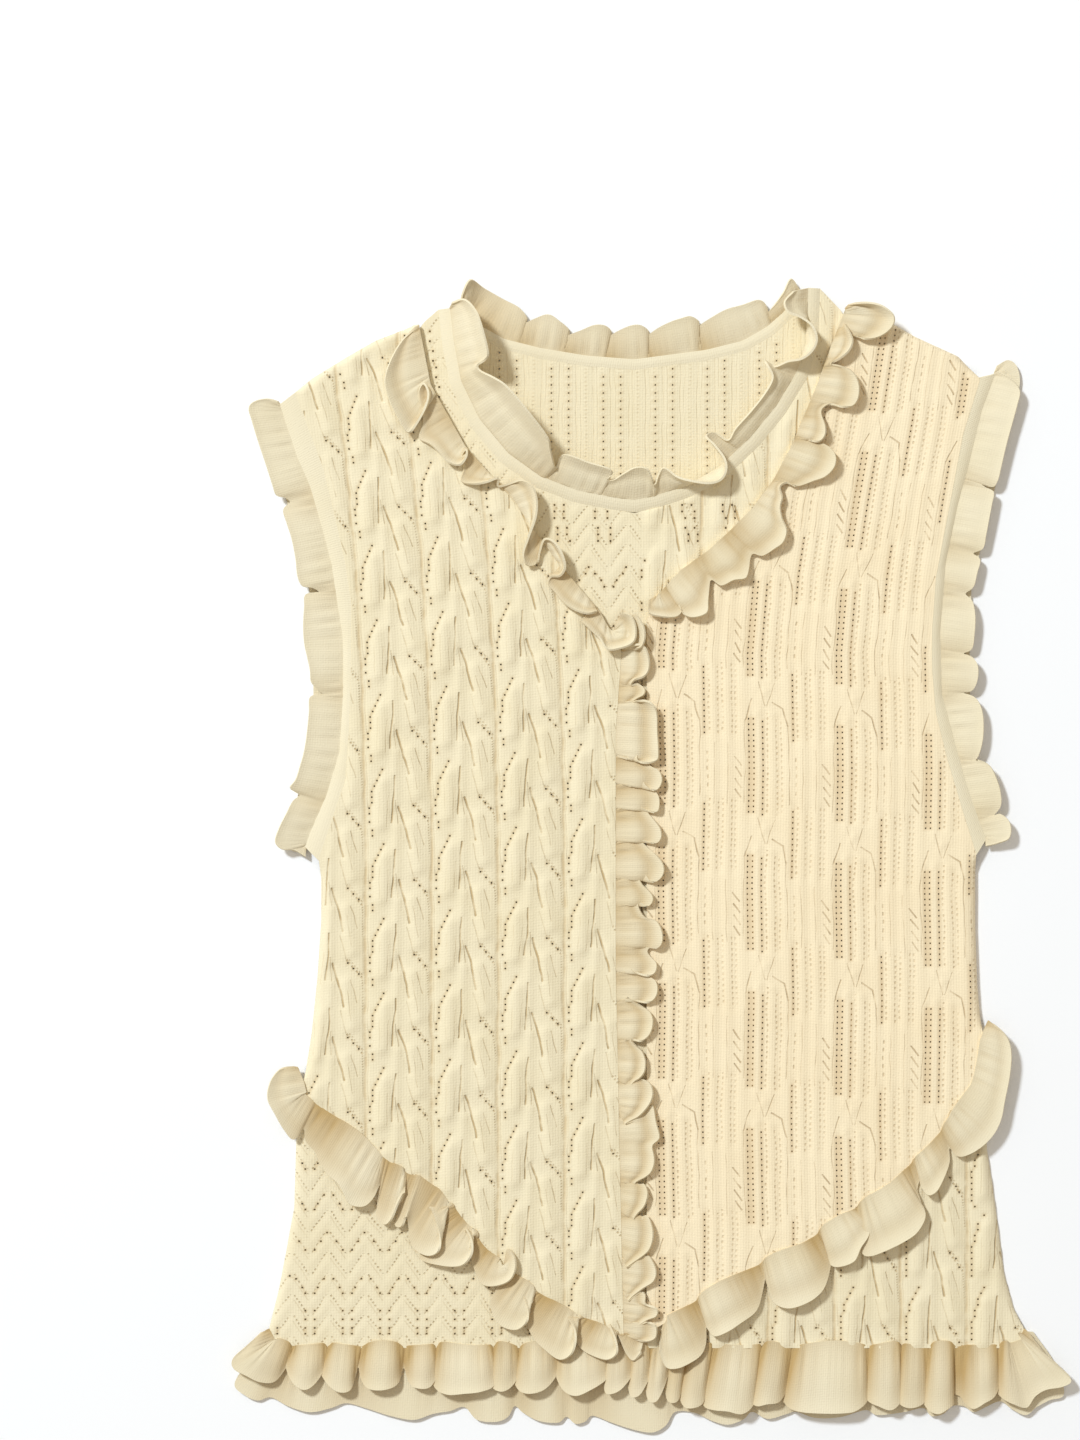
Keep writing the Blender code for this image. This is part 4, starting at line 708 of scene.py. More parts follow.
def strokes(x, y, table, across=0.0, along=0.0):
    """Soft ridges and grooves along straight strokes, repeated every across and along."""
    total = np.zeros_like(x)
    for x0, y0, x1, y1, height, width in table:
        dx, dy = x - (x0 + x1) / 2, y - (y0 + y1) / 2
        if across:
            dx = (dx + across / 2) % across - across / 2
            dy = (dy + along / 2) % along - along / 2
        hx, hy = (x1 - x0) / 2, (y1 - y0) / 2
        share = np.clip((dx * hx + dy * hy) / max(hx * hx + hy * hy, TINY), -1.0, 1.0)
        total += height * np.exp(-((dx - share * hx) ** 2 + (dy - share * hy) ** 2) / width ** 2)
    return total


class Lace:
    """A panel's lace: where its repeat starts, how it slants and leans, its relief and its eyelets."""

    def __init__(self, start, size, slant, lean, relief, eyelets):
        self.start, self.size, self.slant, self.relief, self.eyelets = start, size, slant, relief, eyelets
        self.lean_y, self.lean_x = [row[0] for row in lean], [row[1] for row in lean]

    def leaned(self, y):
        """How far the lace leans to the left of the picture at the height y."""
        return np.interp(y, self.lean_y, self.lean_x)

    def places(self, x, y):
        """The lace's own places (u, v) of points of the garment."""
        u = x - self.start[0] + self.leaned(y)
        return u, y - self.start[1] - self.slant * u

    def raised(self, x, y):
        """How far the lace stands up at points of the garment."""
        return self.relief(*self.places(x, y))

    def holes(self, box):
        """The eyelets over a box (x low, x high, y low, y high) of the garment, as (u, y)."""
        columns, rows = (range(math.floor((box[2 * n] - self.start[n]) / self.size[n]) - SPARE_REPEATS,
                               math.ceil((box[2 * n + 1] - self.start[n]) / self.size[n]) + SPARE_REPEATS)
                         for n in (0, 1))
        spots = []
        for c in columns:
            for r in rows:
                for mark_u, mark_v in self.eyelets:
                    u = c * self.size[0] + mark_u
                    spots.append((u, self.start[1] + r * self.size[1] + mark_v + self.slant * u))
        return spots


def leaf_relief(u, v):
    """How far the leaf lace stands up at its own places, and so on for the other laces."""
    return strokes(u, v, LEAF_STROKES, LEAF_WIDTH, LEAF_LENGTH)


def rib_relief(u, v):
    return strokes(u, v, RIB_STROKES, 2 * RIB_GROUP_WIDTH, RIB_LENGTH)


def chevron_relief(u, v):
    across = np.abs((u + CHEVRON_WIDTH / 2) % CHEVRON_WIDTH - CHEVRON_WIDTH / 2)
    return CHEVRON_HEIGHT * np.cos(2 * math.pi * (v - across * CHEVRON_SLOPE) / CHEVRON_STEP + math.pi)


def inner_relief(u, v):
    return np.where(u < LEAVES_FROM, chevron_relief(u, v), leaf_relief(u, v))


def back_relief(u, v):
    return BACK_RELIEF * np.cos(2 * math.pi * u / BACK_LADDER)


def punched(rows, columns, x, holes):
    """Which cells of a patch stay, when the cell at each eyelet (u, y) is left open."""
    kept = np.ones((len(rows) - 1, len(columns) + 1), dtype=bool)
    for u, y in holes:
        r, c = np.searchsorted(rows, y) - 1, np.searchsorted(columns, u)
        if not (0 < r < len(rows) - 2 and 0 < c < len(columns)):
            continue
        cell, low, high = x[r:r + 2, c:c + 2], x[r:r + 2, 0].max(), x[r:r + 2, -1].min()
        clear = cell.min() > low + EYELET_CLEAR and cell.max() < high - EYELET_CLEAR
        if clear and kept[r - 1:r + 2, c - 1:c + 2].all():
            kept[r, c] = False
    return kept


def lay_patch(rows, columns, left, right, lift, lace, holes, seam=0, roll=STRAIGHT):
    """A stretch of a panel between two edges. Its seam, on one side, rolls down over the layers below."""
    low, high = x_at(left, rows), x_at(right, rows)
    x = lace.start[0] - lace.leaned(rows)[:, None] + np.concatenate([[-FAR], columns, [FAR]])[None, :]
    x = np.clip(x, low[:, None], high[:, None])
    y = np.repeat(rows[:, None], x.shape[1], axis=1)
    to_edge = np.minimum(x - low[:, None], high[:, None] - x)
    raised = lace.raised(x, y) * np.clip(to_edge / SEAM_INSET, 0.0, 1.0)
    raised += strokes(x, y, CREASES)
    top = lift + PANEL_WALL + raised
    low_side = lift + np.clip(raised, 0.0, None) * CLOTH_FOLLOWS
    if seam:
        share = np.interp(rows, [r[0] for r in roll], [r[1] for r in roll])[:, None]
        to_seam = x - low[:, None] if seam < 0 else high[:, None] - x
        near = np.clip(to_seam / SEAM_INSET, 0.0, 1.0)
        rounded = np.sqrt(1.0 - (1.0 - near) ** 2)
        rim = lift * (1.0 - share) + PANEL_WALL + (ROLLED_RIM - PANEL_WALL) * share
        top = rim + (top - rim) * rounded
        low_side = np.minimum(low_side, lift * (1.0 - share * (1.0 - near)))
        low_side = np.maximum(low_side, top - PANEL_WALL * THICKEST)
    upper = np.stack([x, y, top], axis=-1)
    lower = np.stack([x, y, low_side], axis=-1)
    return upper, lower, punched(rows, columns, x, holes), np.stack(lace.places(x, y), axis=-1)


def free_edge(points):
    """A soft line through placed points (a Catmull-Rom curve), in even steps."""
    points = np.array(points, dtype=float)
    ends = np.concatenate([2 * points[:1] - points[1:2], points, 2 * points[-1:] - points[-2:-1]])
    share = np.arange(RIM_PARTS)[:, None] / RIM_PARTS
    fine = []
    for before, start, end, after in zip(ends, ends[1:], ends[2:], ends[3:]):
        bend = 2 * before - 5 * start + 4 * end - after
        twist = 3 * start - before - 3 * end + after
        fine.append(0.5 * (2 * start + (end - before) * share + bend * share ** 2 + twist * share ** 3))
    fine = np.concatenate(fine + [points[-1:]])
    length = measured(fine[:, :2])
    even = np.linspace(0.0, length[-1], int(length[-1] / RIM_STEP) + 1)
    return np.stack([np.interp(even, length, fine[:, k]) for k in range(3)], axis=1)


def eased(values, steps):
    """Values along a line, each the mean of those within a number of steps."""
    share = np.ones(2 * steps + 1) / (2 * steps + 1)
    return np.convolve(np.pad(values, steps, mode="edge"), share, "valid")


def roots_of(edge, seam):
    """The lengths along a seam at which a free edge's points are sewn down, in order."""
    total = float(measured(seam)[-1])
    marks = np.linspace(0.0, total, int(total) + 1)
    spots = point_at(seam, marks)
    nearest = marks[np.argmin(np.linalg.norm(edge[:, None, :2] - spots[None], axis=2), axis=1)]
    climbed = (np.maximum.accumulate(nearest) + np.minimum.accumulate(nearest[::-1])[::-1]) / 2
    reach = int(ROOT_EASE / RIM_STEP)
    climbed = eased(climbed, reach)
    climbed = (climbed - climbed[0]) / (climbed[-1] - climbed[0]) * total
    return climbed * (1.0 - ROOTS_EVEN) + np.linspace(0.0, total, len(climbed)) * ROOTS_EVEN


def widened(values, reach):
    """The highest value within a reach of each place, eased."""
    steps = int(reach / RIM_STEP)
    padded = np.pad(values, steps, mode="edge")
    most = np.max([padded[n:n + len(values)] for n in range(2 * steps + 1)], axis=0)
    return eased(most, steps)


def ruffle_rows(seam, rim, form):
    """The middle surface of a ruffle, in rows from its seam to its free edge, and the shade painted on
    it.
    """
    edge = free_edge(rim)
    spot = point_at(seam, roots_of(edge, seam))
    height = edge[:, 2]
    sunk = np.clip(1.0 - height / widened(height, NEARBY), 0.0, 1.0)
    crest = np.sqrt(1.0 - sunk)
    height = height * (1.0 - DEEPER * sunk)
    sunk = widened(sunk, SHADE_REACH)
    bulge = form.puff * np.clip(height / FULL_PUFF, LEAST_PUFF, 1.0)
    length = np.arange(len(edge)) * RIM_STEP
    inward = spot - edge[:, :2]
    inward /= np.maximum(np.linalg.norm(inward, axis=1), TINY)[:, None]
    lap = crest * (LAP_SHARE + LAP_SWING * np.sin(length * LAP_WAVES))
    lap[:LAP_EASE] *= np.linspace(0.0, 1.0, LAP_EASE)
    lap[-LAP_EASE:] *= np.linspace(1.0, 0.0, LAP_EASE)
    lifted = LAP_LIFT * lap * (form.lap > 0.0)
    pleats = sum(share * np.sin(length * waves + np.sin(length * slow) * sway)
                 for share, waves, slow, sway in PLEAT_WAVES)
    rows, painted_shades = [], []
    for out in np.linspace(0.0, 1.0, RIM_ROWS + 1):
        flat = spot + (edge[:, :2] - spot) * out + inward * (form.lap * lap * (1.0 - out))[:, None]
        lip = max(0.0, (out - LIP_FROM) / (1.0 - LIP_FROM)) ** 2
        cupped = form.cup * math.exp(-((out - CUP_MIDDLE) / CUP_WIDTH) ** 2) * (1.0 - sunk)
        gathered = pleats * min(1.0, out * PLEAT_START) * (1.0 - out)
        z = form.seam_z + height * (out ** RISE + LIP * lip - cupped)
        z += bulge * math.sin(math.pi * out) ** 2
        z += PLEAT * gathered + lifted * (1.0 - out) ** 2
        rows.append(np.concatenate([flat, z[:, None]], axis=1))
        # Painted shade: in the dips between lobes, at the gathered seam, in the cups behind the free edge
        # and between the gathers
        painted_shades.append(sunk * (1.0 - SHADE_FADE * out ** 2) + ROOT_SHADE * (1.0 - out) ** 3
                       + CUP_SHADE * cupped + PLEAT_SHADE * np.maximum(-gathered, 0.0))
    return np.array(rows), np.clip(np.array(painted_shades) * form.shade, 0.0, 1.0)


def strip_of(rows, wall, along, width):
    """A patch of even thickness about a strip's middle surface, clear of the floor."""
    normals = np.cross(np.gradient(rows, axis=1), np.gradient(rows, axis=0))
    normals /= np.maximum(np.linalg.norm(normals, axis=2), TINY)[:, :, None]
    if normals[0, :, 2].mean() < 0:
        normals = -normals
    normals[0] = (0.0, 0.0, 1.0)
    upper, lower = rows + normals * wall / 2, rows - normals * wall / 2
    lift = np.maximum(FLOOR_CLEAR - lower[:, :, 2], 0.0)
    upper[:, :, 2] += lift
    lower[:, :, 2] += lift
    kept = np.ones((rows.shape[0] - 1, rows.shape[1] - 1), dtype=bool)
    out = np.linspace(0.0, 1.0, len(rows))[:, None]
    places = np.stack([np.repeat(along[None, :], len(rows), axis=0), out * width[None, :]], axis=-1)
    return upper, lower, kept, places


def make_ruffle(node, seam, rim):
    """A gathered strip, sewn to a seam and let out to its free edge."""
    middle, painted_shades = ruffle_rows(seam, rim, RUFFLES[node])
    along = np.arange(middle.shape[1]) * RIM_STEP
    width = np.linalg.norm(middle[-1, :, :2] - middle[0, :, :2], axis=1)
    patch = strip_of(middle, RUFFLE_WALL, along, width)
    return dress(close_cloth(node + "_cloth", [patch], painted_shades), node, "smooth")


def make_band(node, edge, seam, lift, drop):
    """A smooth band between a panel's edge and its ruffle's seam, both given in the same direction."""
    edge_total, seam_total = measured(edge)[-1], measured(seam)[-1]
    share = np.linspace(0.0, 1.0, int(edge_total / BAND_STEP) + 2)
    start, end = point_at(edge, share * edge_total), point_at(seam, share * seam_total)
    across = end - start
    across /= np.linalg.norm(across, axis=1)[:, None]
    rows = []
    for out in np.linspace(0.0, 1.0, BAND_ROWS + 1):
        flat = start - across * SEAM_LAP + (end - start + 2 * across * SEAM_LAP) * out
        crown = BAND_CROWN * math.sin(math.pi * out) - drop * out
        rows.append(np.concatenate([flat, np.full((len(flat), 1), lift + crown)], axis=1))
    patch = strip_of(np.array(rows), BAND_WALL, share * edge_total, np.linalg.norm(end - start, axis=1))
    return dress(close_cloth(node + "_cloth", [patch]), node, "smooth")


def dress(piece, node, cloth):
    """Gives a piece its cloth, hangs it on the root and hides the solid that it stands for."""
    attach(piece, "root")
    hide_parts(node)
    piece.data.materials.clear()
    piece.data.materials.append(CLOTHS[cloth])
    return piece


def armhole_of(outline, armhole):
    """The stretch of a layer's outline beside an armhole."""
    return [p for p in outline if armhole[0][1] - ARMHOLE_SLACK <= p[1] <= armhole[-1][1] + ARMHOLE_SLACK]


def inner_outline(side, covered, turn, shoulder):
    """The inner front's outline: it shows at the sides below the curved hems, and at the shoulders."""
    shown = tuple(p for p in side if p[1] < turn[0][1])
    hidden = tuple(p for p in covered if turn[-1][1] < p[1] < COVERED_TO and p[1] < shoulder[0][1])
    return shown + turn + hidden + shoulder


def lower_outline(side, armhole, shoulder, distance):
    """The outline of a layer that stops short of the seams."""
    return climbing(inset(side + armhole[1:] + shoulder[1:], distance))


def hem_seam(outlines):
    """The seam of a bottom ruffle: from the left side round both lower corners to the right side."""
    left, right = outlines[1], outlines[0]
    return tuple(left[:HEM_CORNER])[::-1] + tuple(right[:HEM_CORNER])


def box_of(*lines):
    """The box round some lines: x low, x high, y low, y high."""
    points = np.array([p for line in lines for p in line])
    return points[:, 0].min(), points[:, 0].max(), points[:, 1].min(), points[:, 1].max()


def make_outer_front(node, cloth, seam, lines, ends, columns, pitch, lace):
    """An outer front between its two lines. Ends are the heights where its seam changes, and its top."""
    hem_end, pit, tip, top = ends
    begin = hem_end + ROLL_EASE
    roll = ((begin, 0), (begin + ROLL_EASE, 1), (pit - ROLL_EASE, 1), (pit, 0), (tip, 0),
            (tip + ROLL_EASE, 1))
    rows = lattice(lines[0][0][1], top, pitch, lace.start[1])
    holes = lace.holes(box_of(*lines))
    patch = lay_patch(rows, columns, lines[0], lines[1], OUTER_Z, lace, holes, seam, roll)
    return dress(close_cloth(node + "_cloth", [patch]), node, cloth)


def make_whole_panel(node, cloth, outlines, necks, stretches, columns, lift, lace, holes, roll):
    """A panel that is whole below its neckline and parts round it above."""
    hem_y = outlines[0][0][1]
    split_x = necks[0][0][0]
    patches = []
    rows = np.unique(np.concatenate([
        lattice(max(low, hem_y), min(high, necks[0][-1][1]), pitch, lace.start[1])
        for low, high, pitch in stretches if high > hem_y]))
    for side, outline, neck in ((-1, outlines[0], necks[0]), (1, outlines[1], necks[1])):
        edge = ((split_x, hem_y),) + neck
        top = min(outline[-1][1], neck[-1][1])
        own_rows = np.append(rows[rows < top - ROW_CLEAR], top)
        own = columns[(columns + lace.start[0] - split_x) * side > ROW_CLEAR]
        lines = (outline, edge) if side < 0 else (edge, outline)
        patches.append(lay_patch(own_rows, own, lines[0], lines[1], lift, lace, holes, side, roll))
    return dress(close_cloth(node + "_cloth", patches), node, cloth)


class Yarn:
    """Puts a cloth's material together, node by node."""

    def __init__(self, name):
        self.material = bpy.data.materials.new(name)
        self.material.use_nodes = True
        self.nodes = self.material.node_tree.nodes
        self.links = self.material.node_tree.links
        self.shader = self.nodes["Principled BSDF"]

    def add(self, kind, output, settings, inputs):
        """A new node with its settings and its inputs, which are values or other nodes' outputs."""
        node = self.nodes.new(kind)
        for name, value in settings.items():
            setattr(node, name, value)
        for socket, value in inputs.items():
            if isinstance(value, bpy.types.NodeSocket):
                self.links.new(value, node.inputs[socket])
            else:
                node.inputs[socket].default_value = value
        return node.outputs[output]

    def math(self, operation, *values):
        """Numbers put together by an operation of Blender's."""
        return self.add("ShaderNodeMath", "Value", {"operation": operation}, dict(enumerate(values)))

    def vector(self, operation, *values, scale=None):
        """Vectors put together by an operation of Blender's."""
        output = "Value" if operation in ("DOT_PRODUCT", "LENGTH") else "Vector"
        inputs = dict(enumerate(values))
        if scale is not None:
            inputs["Scale"] = scale
        return self.add("ShaderNodeVectorMath", output, {"operation": operation}, inputs)

    def ranged(self, value, low, high, to_low=0.0, to_high=1.0):
        """A value brought softly from one range to another."""
        return self.add("ShaderNodeMapRange", "Result", {"interpolation_type": "SMOOTHSTEP"}, {
            "Value": value, "From Min": low, "From Max": high, "To Min": to_low, "To Max": to_high})

    def noise(self, places, grain, output="Fac"):
        """Uneven spots, as fine as the grain says."""
        return self.add("ShaderNodeTexNoise", output, {}, {
            "Vector": places, "Scale": grain.scale, "Detail": grain.detail})

    def wave(self, places, direction, length, distortion):
        """Even ribs of a length, set uneven by the distortion."""
        return self.add("ShaderNodeTexWave", "Fac", {"bands_direction": direction}, {
            "Vector": places, "Scale": WAVE_OF_A_MILLIMETRE / length, "Distortion": distortion})

    def tint(self, base, colour, share):
        """The base with a share of another colour."""
        return self.add("ShaderNodeMix", "Result", {"data_type": "RGBA"}, {
            "A": base, "B": colour, "Factor": share})

    def furrow(self, places, line, size):
        """How deep one repeated furrow is at each place. A dotted one breaks up into dashes."""
        x0, y0, x1, y1, width, depth, dash = line
        half = Vector(((x1 - x0) / 2, (y1 - y0) / 2, 0.0))
        away = self.vector("SUBTRACT", places, ((x0 + x1) / 2, (y0 + y1) / 2, 0.0))
        far = (size[0] / 2, size[1] / 2, 1.0)
        away = self.vector("WRAP", away, far, (-far[0], -far[1], -far[2]))
        share = self.vector("DOT_PRODUCT", away, half / half.length_squared)
        share = self.math("MINIMUM", self.math("MAXIMUM", share, -1.0), 1.0)
        off = self.vector("SUBTRACT", away, self.vector("SCALE", tuple(half), scale=share))
        depth_here = self.ranged(self.vector("LENGTH", off), width, 0.0, 0.0, depth)
        if dash:
            beat = self.math("SINE", self.math("MULTIPLY", share, math.pi * 2 * half.length / dash))
            depth_here = self.math("MULTIPLY", depth_here, self.ranged(beat, *DASH_SHARE))
        return depth_here


def knit_cloth(name, tones, wale, course, laces=()):
    """Matte cream knit: fine wales and courses, a little fluff, uneven dye, and a lace's furrows and
    eyelets and a ruffle's troughs darkened with painted shade.
    """
    cream, deep, shadow = tones
    yarn = Yarn(name)
    yarn.shader.inputs["Roughness"].default_value = ROUGHNESS
    yarn.shader.inputs["Metallic"].default_value = 0.0
    yarn.shader.inputs["Specular IOR Level"].default_value = SHINE
    yarn.shader.inputs["Sheen Weight"].default_value = FLUFF
    yarn.shader.inputs["Sheen Roughness"].default_value = FLUFF_ROUGHNESS
    places = yarn.add("ShaderNodeUVMap", "UV", {"uv_map": "cloth"}, {})
    painted_shade = yarn.add("ShaderNodeAttribute", "Fac", {"attribute_name": "painted_shade"}, {})
    dye = yarn.ranged(yarn.noise(places, DYE), DYE.low, DYE.high, 0.0, DYE_SPREAD)
    colour = yarn.tint(cream, deep, dye)
    height = yarn.math("MULTIPLY", yarn.wave(places, "X", wale, WALE_SWAY), WALE_DEPTH)
    height = yarn.math("MULTIPLY_ADD", yarn.wave(places, "Y", course, COURSE_SWAY), COURSE_DEPTH, height)
    height = yarn.math("MULTIPLY_ADD", yarn.noise(places, YARN), YARN_DEPTH, height)
    if laces:
        swayed = yarn.vector("SUBTRACT", yarn.noise(places, DRIFT, "Color"), (0.5, 0.5, 0.5))
        moved = yarn.vector("MULTIPLY_ADD", swayed, (SWAY * 2, SWAY * 2, 0.0), places)
        across = yarn.add("ShaderNodeSeparateXYZ", "X", {}, {"Vector": places})
        deepest = None
        for size, lines, low, high in laces:
            depths = None
            for line in lines:
                depth = yarn.furrow(moved, line, size)
                depths = depth if depths is None else yarn.math("MAXIMUM", depths, depth)
            if high > low:
                here = yarn.math("MULTIPLY", yarn.math("GREATER_THAN", across, low),
                                 yarn.math("LESS_THAN", across, high))
                depths = yarn.math("MULTIPLY", depths, here)
            deepest = depths if deepest is None else yarn.math("MAXIMUM", deepest, depths)
        # Furrows, unevenly deep, are pressed in by the bump and darkened with painted shade
        unevenness = yarn.ranged(yarn.noise(places, UNEVEN_FURROWS), UNEVEN_FURROWS.low, UNEVEN_FURROWS.high, FAINTEST_FURROW, 1.0)
        deepest = yarn.math("MULTIPLY", deepest, unevenness)
        colour = yarn.tint(colour, shadow, yarn.math("MULTIPLY", deepest, FURROW_PAINTED_SHADE))
        height = yarn.math("MULTIPLY_ADD", deepest, -FURROW_DEPTH, height)
        # Painted shade round the eyelets, drawn tight to them
        edge = yarn.math("POWER", painted_shade, 2.0)
        colour = yarn.tint(colour, shadow, yarn.math("MULTIPLY", edge, EYELET_PAINTED_SHADE))
    else:
        # Painted shade in a ruffle's troughs, at its gathered seam, in its cups and between its gathers
        colour = yarn.tint(colour, shadow, yarn.math("MULTIPLY", painted_shade, HOLLOW_PAINTED_SHADE))
    bump = yarn.add("ShaderNodeBump", "Normal", {}, {"Strength": 1.0, "Distance": MM, "Height": height})
    yarn.links.new(colour, yarn.shader.inputs["Base Color"])
    yarn.links.new(bump, yarn.shader.inputs["Normal"])
    return yarn.material


def make_floor():
    """White paper just below the garment."""
    bpy.ops.mesh.primitive_plane_add(size=FLOOR_SIZE, location=(0.0, 0.0, FLOOR_Z))
    floor = bpy.context.object
    floor.name = "floor"
    material = bpy.data.materials.new("pale paper")
    material.use_nodes = True
    shader = material.node_tree.nodes["Principled BSDF"]
    shader.inputs["Base Color"].default_value = PAPER
    shader.inputs["Roughness"].default_value = PAPER_ROUGHNESS
    floor.data.materials.append(material)


def make_lamp():
    """One broad lamp up to the left, turned towards the middle of the floor."""
    data = bpy.data.lights.new("window light", "AREA")
    data.shape = "DISK"
    data.size = LAMP_SIZE
    data.energy = LAMP_POWER
    data.color = LAMP_COLOUR
    lamp = bpy.data.objects.new("window light", data)
    bpy.context.scene.collection.objects.link(lamp)
    lamp.location = LAMP_AT
    lamp.rotation_mode = "QUATERNION"
    lamp.rotation_quaternion = (-Vector(LAMP_AT)).to_track_quat("-Z", "Y")


def make_sky():
    """Even, slightly warm light from all sides."""
    world = bpy.data.worlds.new("studio")
    bpy.context.scene.world = world
    world.use_nodes = True
    background = world.node_tree.nodes["Background"]
    background.inputs["Color"].default_value = SKY_TONE
    background.inputs["Strength"].default_value = SKY
    bpy.context.scene.view_settings.view_transform = "Standard"


def make_camera():
    """The photo's own view, straight down."""
    camera = bpy.data.cameras.new("camera")
    camera.sensor_width = SENSOR
    camera.lens = SENSOR * CAMERA_HEIGHT / (PHOTO_TALL * MM)
    camera.clip_end = CAMERA_REACH
    eye = bpy.data.objects.new("camera", camera)
    bpy.context.scene.collection.objects.link(eye)
    eye.location = ((PHOTO_MIDDLE[0] - MIDDLE_X) * MM, (PHOTO_MIDDLE[1] - MIDDLE_Y) * MM, CAMERA_HEIGHT)
    bpy.context.scene.camera = eye


def repeat(width, length, furrows, low=0, high=0):
    """A lace's repeat. Without low and high it holds all across the cloth."""
    return (width, length), furrows, low, high


CLOTHS = {
    "leaf": knit_cloth("cream leaf lace", CREAM_TONES, wale=1.43, course=1.43,
                       laces=(repeat(LEAF_WIDTH, LEAF_LENGTH, LEAF_FURROWS),)),
    "rib": knit_cloth("warm cream ladder lace", WARM_TONES, wale=1.4, course=1.42,
                      laces=(repeat(2 * RIB_GROUP_WIDTH, RIB_LENGTH, RIB_FURROWS),)),
    "inner": knit_cloth("cream zigzag lace", CREAM_TONES, wale=1.4, course=1.4,
                        laces=(repeat(CHEVRON_WIDTH, CHEVRON_STEP, CHEVRON_FURROWS, -FAR, LEAVES_FROM),
                               repeat(LEAF_WIDTH, LEAF_LENGTH, LEAF_FURROWS, LEAVES_FROM, FAR))),
    "back": knit_cloth("cream back lace", CREAM_TONES, wale=1.4, course=1.4,
                       laces=(repeat(BACK_LADDER, BACK_PITCH, BACK_FURROWS),)),
    "smooth": knit_cloth("cream smooth knit", SMOOTH_TONES, wale=1.2, course=1.3),
}

# Outlines
back = (lower_outline(SIDE_RIGHT, ARMHOLE_RIGHT, SHOULDER_RIGHT, SEAM_INSET),
        lower_outline(SIDE_LEFT, ARMHOLE_LEFT, SHOULDER_LEFT, -SEAM_INSET))
inner = (inner_outline(SIDE_RIGHT, back[0], INNER_TURN_RIGHT, INNER_SHOULDER_RIGHT),
         inner_outline(SIDE_LEFT, back[1], INNER_TURN_LEFT, INNER_SHOULDER_LEFT))
right_side = above(SIDE_RIGHT, CURVED_HEM_RIGHT[-1][1]) + ARMHOLE_RIGHT[1:] + SHOULDER_RIGHT[1:]
right_lines = (CURVED_HEM_RIGHT + right_side, CENTRE_RIGHT + V_RIGHT[1:])
left_side = above(SIDE_LEFT, CURVED_HEM_LEFT[-1][1]) + ARMHOLE_LEFT[1:] + SHOULDER_LEFT[1:]
left_lines = (CENTRE_LEFT + V_LEFT[1:], CURVED_HEM_LEFT + left_side)

# Outer fronts
leaf = Lace(LEAF_START, (LEAF_WIDTH, LEAF_LENGTH), LEAF_SLANT, LEAF_LEAN, leaf_relief, LEAF_EYELETS)
leaf_box = box_of(*right_lines)
leaf_columns = lattice(leaf_box[0] - LEAF_START[0] - LEAF_SPARE[0],
                       leaf_box[1] - LEAF_START[0] + LEAF_SPARE[1], LEAF_WIDTH / LEAF_WALES, 0.0)
make_outer_front("right_front", "leaf", -1, right_lines,
                 (CURVED_HEM_RIGHT[-1][1], ARMHOLE_RIGHT[0][1], SHOULDER_RIGHT[0][1], V_RIGHT[-1][1]),
                 leaf_columns, LEAF_LENGTH / LEAF_COURSES, leaf)
ribs = Lace(RIB_START, (2 * RIB_GROUP_WIDTH, RIB_LENGTH), RIB_SLANT, RIB_LEAN, rib_relief, RIB_EYELETS)
rib_columns = np.concatenate([n * RIB_GROUP_WIDTH + np.array(RIB_COLUMNS) for n in RIB_GROUPS])
make_outer_front("left_front", "rib", 1, left_lines,
                 (CURVED_HEM_LEFT[-1][1], ARMHOLE_LEFT[0][1], SHOULDER_LEFT[0][1], V_LEFT[-1][1]),
                 rib_columns, EYELET_PITCH / 2, ribs)

# Back and inner front
ladders = Lace((0.0, 0.0), (3 * BACK_LADDER, BACK_PITCH), 0.0, STRAIGHT, back_relief, BACK_EYELETS)
back_columns = np.concatenate([n * BACK_LADDER + np.array(BACK_COLUMNS) for n in BACK_LADDERS])
make_whole_panel("back_panel", "back", back, (NECK_BACK_RIGHT, NECK_BACK_LEFT), BACK_ROWS, back_columns,
                 BACK_Z, ladders, ladders.holes(box_of(*back)), STRAIGHT)
zigzag = Lace(CHEVRON_START, (CHEVRON_WIDTH, 2 * CHEVRON_STEP), 0.0, STRAIGHT, inner_relief,
              CHEVRON_EYELETS)
leaves = Lace(CHEVRON_START, (LEAF_WIDTH, LEAF_LENGTH), 0.0, STRAIGHT, leaf_relief, LEAF_EYELETS)
inner_box = box_of(*inner)
inner_holes = [(u, y) for u, y in zigzag.holes(inner_box)
               if u < LEAVES_FROM and HEM_HOLES_TOP < y < NECK_HOLES_LOW]
inner_holes += [(u, y) for u, y in leaves.holes(inner_box) if u > LEAVES_FROM and y < NECK_HOLES_LOW]
inner_holes += [(x + (NECK_HOLE_LEVEL - y) * NECK_HOLE_LEAN - CHEVRON_START[0], y)
                for x in NECK_HOLE_COLUMNS for y in NECK_HOLE_ROWS]
inner_holes += [(NECK_SIDE_HOLE[0] + NECK_SIDE_STEP[0] * n - CHEVRON_START[0],
                 NECK_SIDE_HOLE[1] + NECK_SIDE_STEP[1] * n) for n in range(NECK_SIDE_HOLES)]
inner_holes += [(n * CHEVRON_WIDTH + side * HEM_HOLE_SIDE, HEM_HOLES_TOP - 1.0 - HEM_HOLE_STEP * k)
                for n in HEM_HOLES for side in (-1, 1) for k in range(HEM_HOLE_ROWS)]
inner_columns = lattice(*INNER_COLUMNS, CHEVRON_WIDTH / CHEVRON_WALES, 0.0)
make_whole_panel("inner_front", "inner", inner, (NECK_FRONT_RIGHT, NECK_FRONT_LEFT), INNER_ROWS,
                 inner_columns, INNER_Z, zigzag, inner_holes, INNER_ROLL)

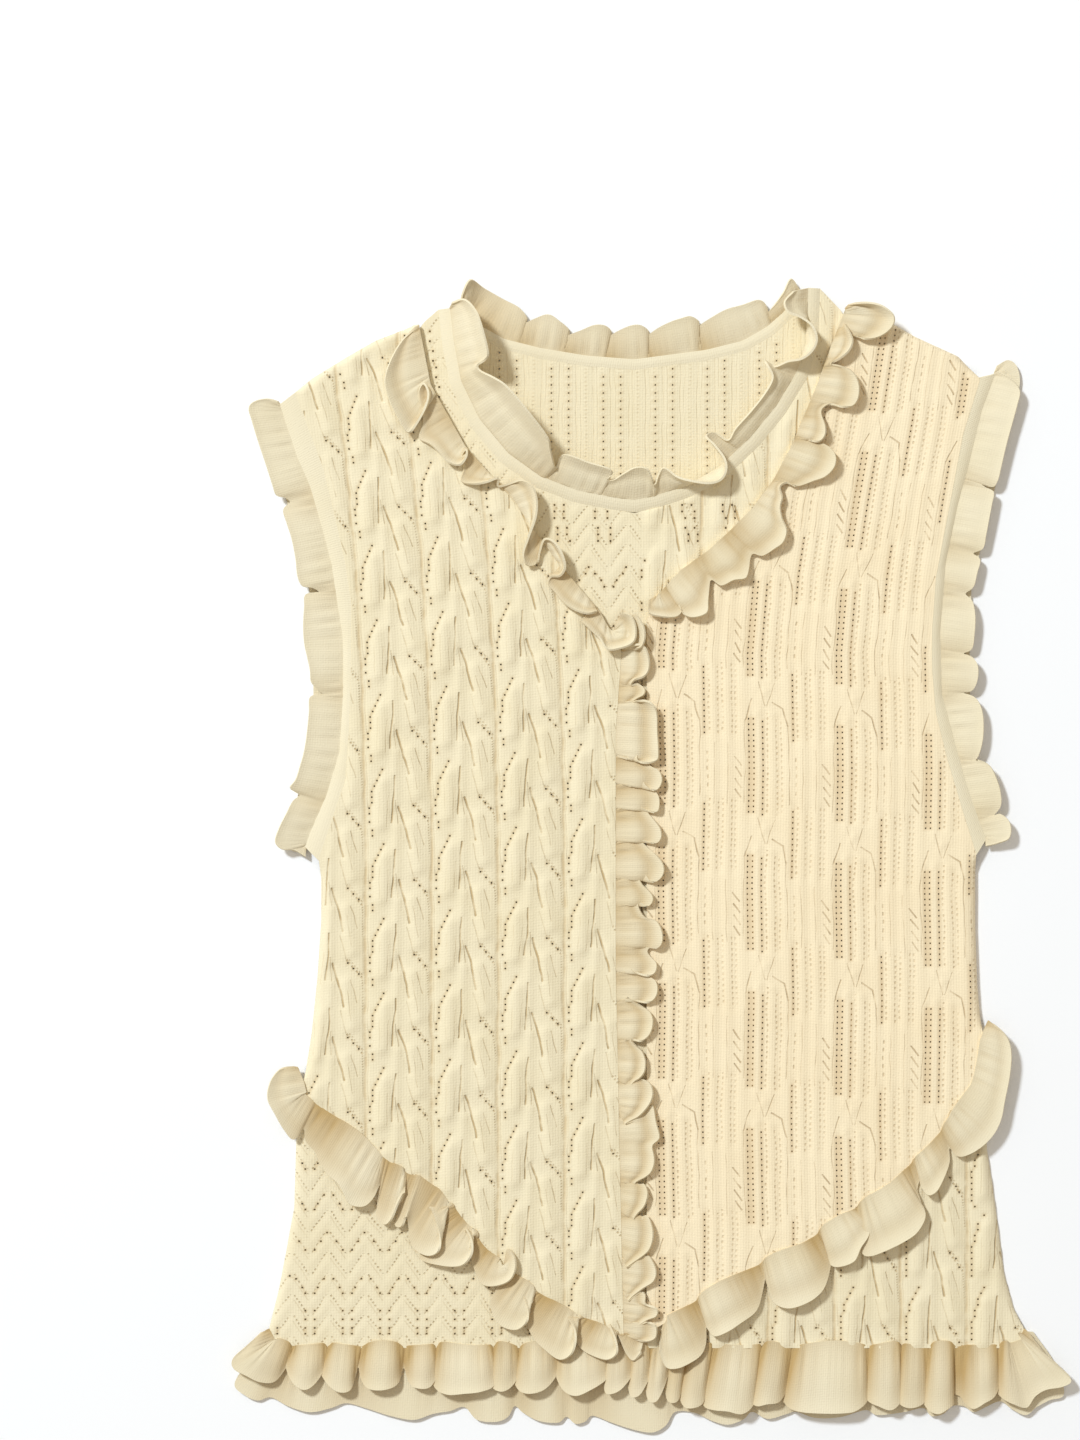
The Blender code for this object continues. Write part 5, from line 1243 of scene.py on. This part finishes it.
# Neck
neck_front = NECK_FRONT_RIGHT[::-1] + NECK_FRONT_LEFT[1:]
neck_back = NECK_BACK_RIGHT[::-1] + NECK_BACK_LEFT[1:]
neck_front_seam, neck_back_seam = inset(neck_front, -NECK_BAND), inset(neck_back, -BACK_NECK_BAND)
make_band("neck_band_front", neck_front, neck_front_seam, BESIDE_INNER, NECK_SINK - NECK_RISE)
make_band("neck_band_back", neck_back, neck_back_seam, BESIDE_BACK, 0.0)
make_ruffle("neck_ruffle_front", neck_front_seam, NECK_FRONT_RIM)
make_ruffle("neck_ruffle_back", neck_back_seam, NECK_BACK_RIM)

# Ruffles of the outer fronts
make_ruffle("v_ruffle_right", V_RIGHT, V_RIGHT_RIM[::-1])
make_ruffle("v_ruffle_left", V_LEFT[:0:-1], V_LEFT_RIM)
make_ruffle("centre_ruffle", CENTRE_RIGHT[::-1], CENTRE_RIM)
make_ruffle("curved_hem_ruffle_right", (HEM_CROSSING,) + CURVED_HEM_RIGHT + (HEM_TURN_RIGHT,),
            HEM_RIGHT_RIM[::-1])
make_ruffle("curved_hem_ruffle_left", (HEM_TURN_LEFT,) + CURVED_HEM_LEFT[:0:-1], HEM_LEFT_RIM)

# Bottom and armholes
make_ruffle("hem_ruffle_front", hem_seam(inner), HEM_FRONT_RIM)
make_ruffle("hem_ruffle_back", hem_seam(back), HEM_BACK_RIM)
for hand, armhole, seam, back_line, rim, back_rim in (
        ("right", ARMHOLE_RIGHT, ARMHOLE_SEAM_RIGHT, armhole_of(back[0], ARMHOLE_RIGHT),
         ARMHOLE_RIGHT_RIM, ARMHOLE_BACK_RIGHT_RIM),
        ("left", ARMHOLE_LEFT[::-1], ARMHOLE_SEAM_LEFT, armhole_of(back[1], ARMHOLE_LEFT)[::-1],
         ARMHOLE_LEFT_RIM, ARMHOLE_BACK_LEFT_RIM)):
    make_band("armhole_band_front_" + hand, armhole, seam, BESIDE_OUTER, ARMHOLE_DROP)
    make_band("armhole_band_back_" + hand, back_line, seam, BESIDE_BACK, 0.0)
    make_ruffle("armhole_ruffle_front_" + hand, seam, rim)
    make_ruffle("armhole_ruffle_back_" + hand, seam, back_rim)

# Stage
make_floor()
make_lamp()
make_sky()
make_camera()
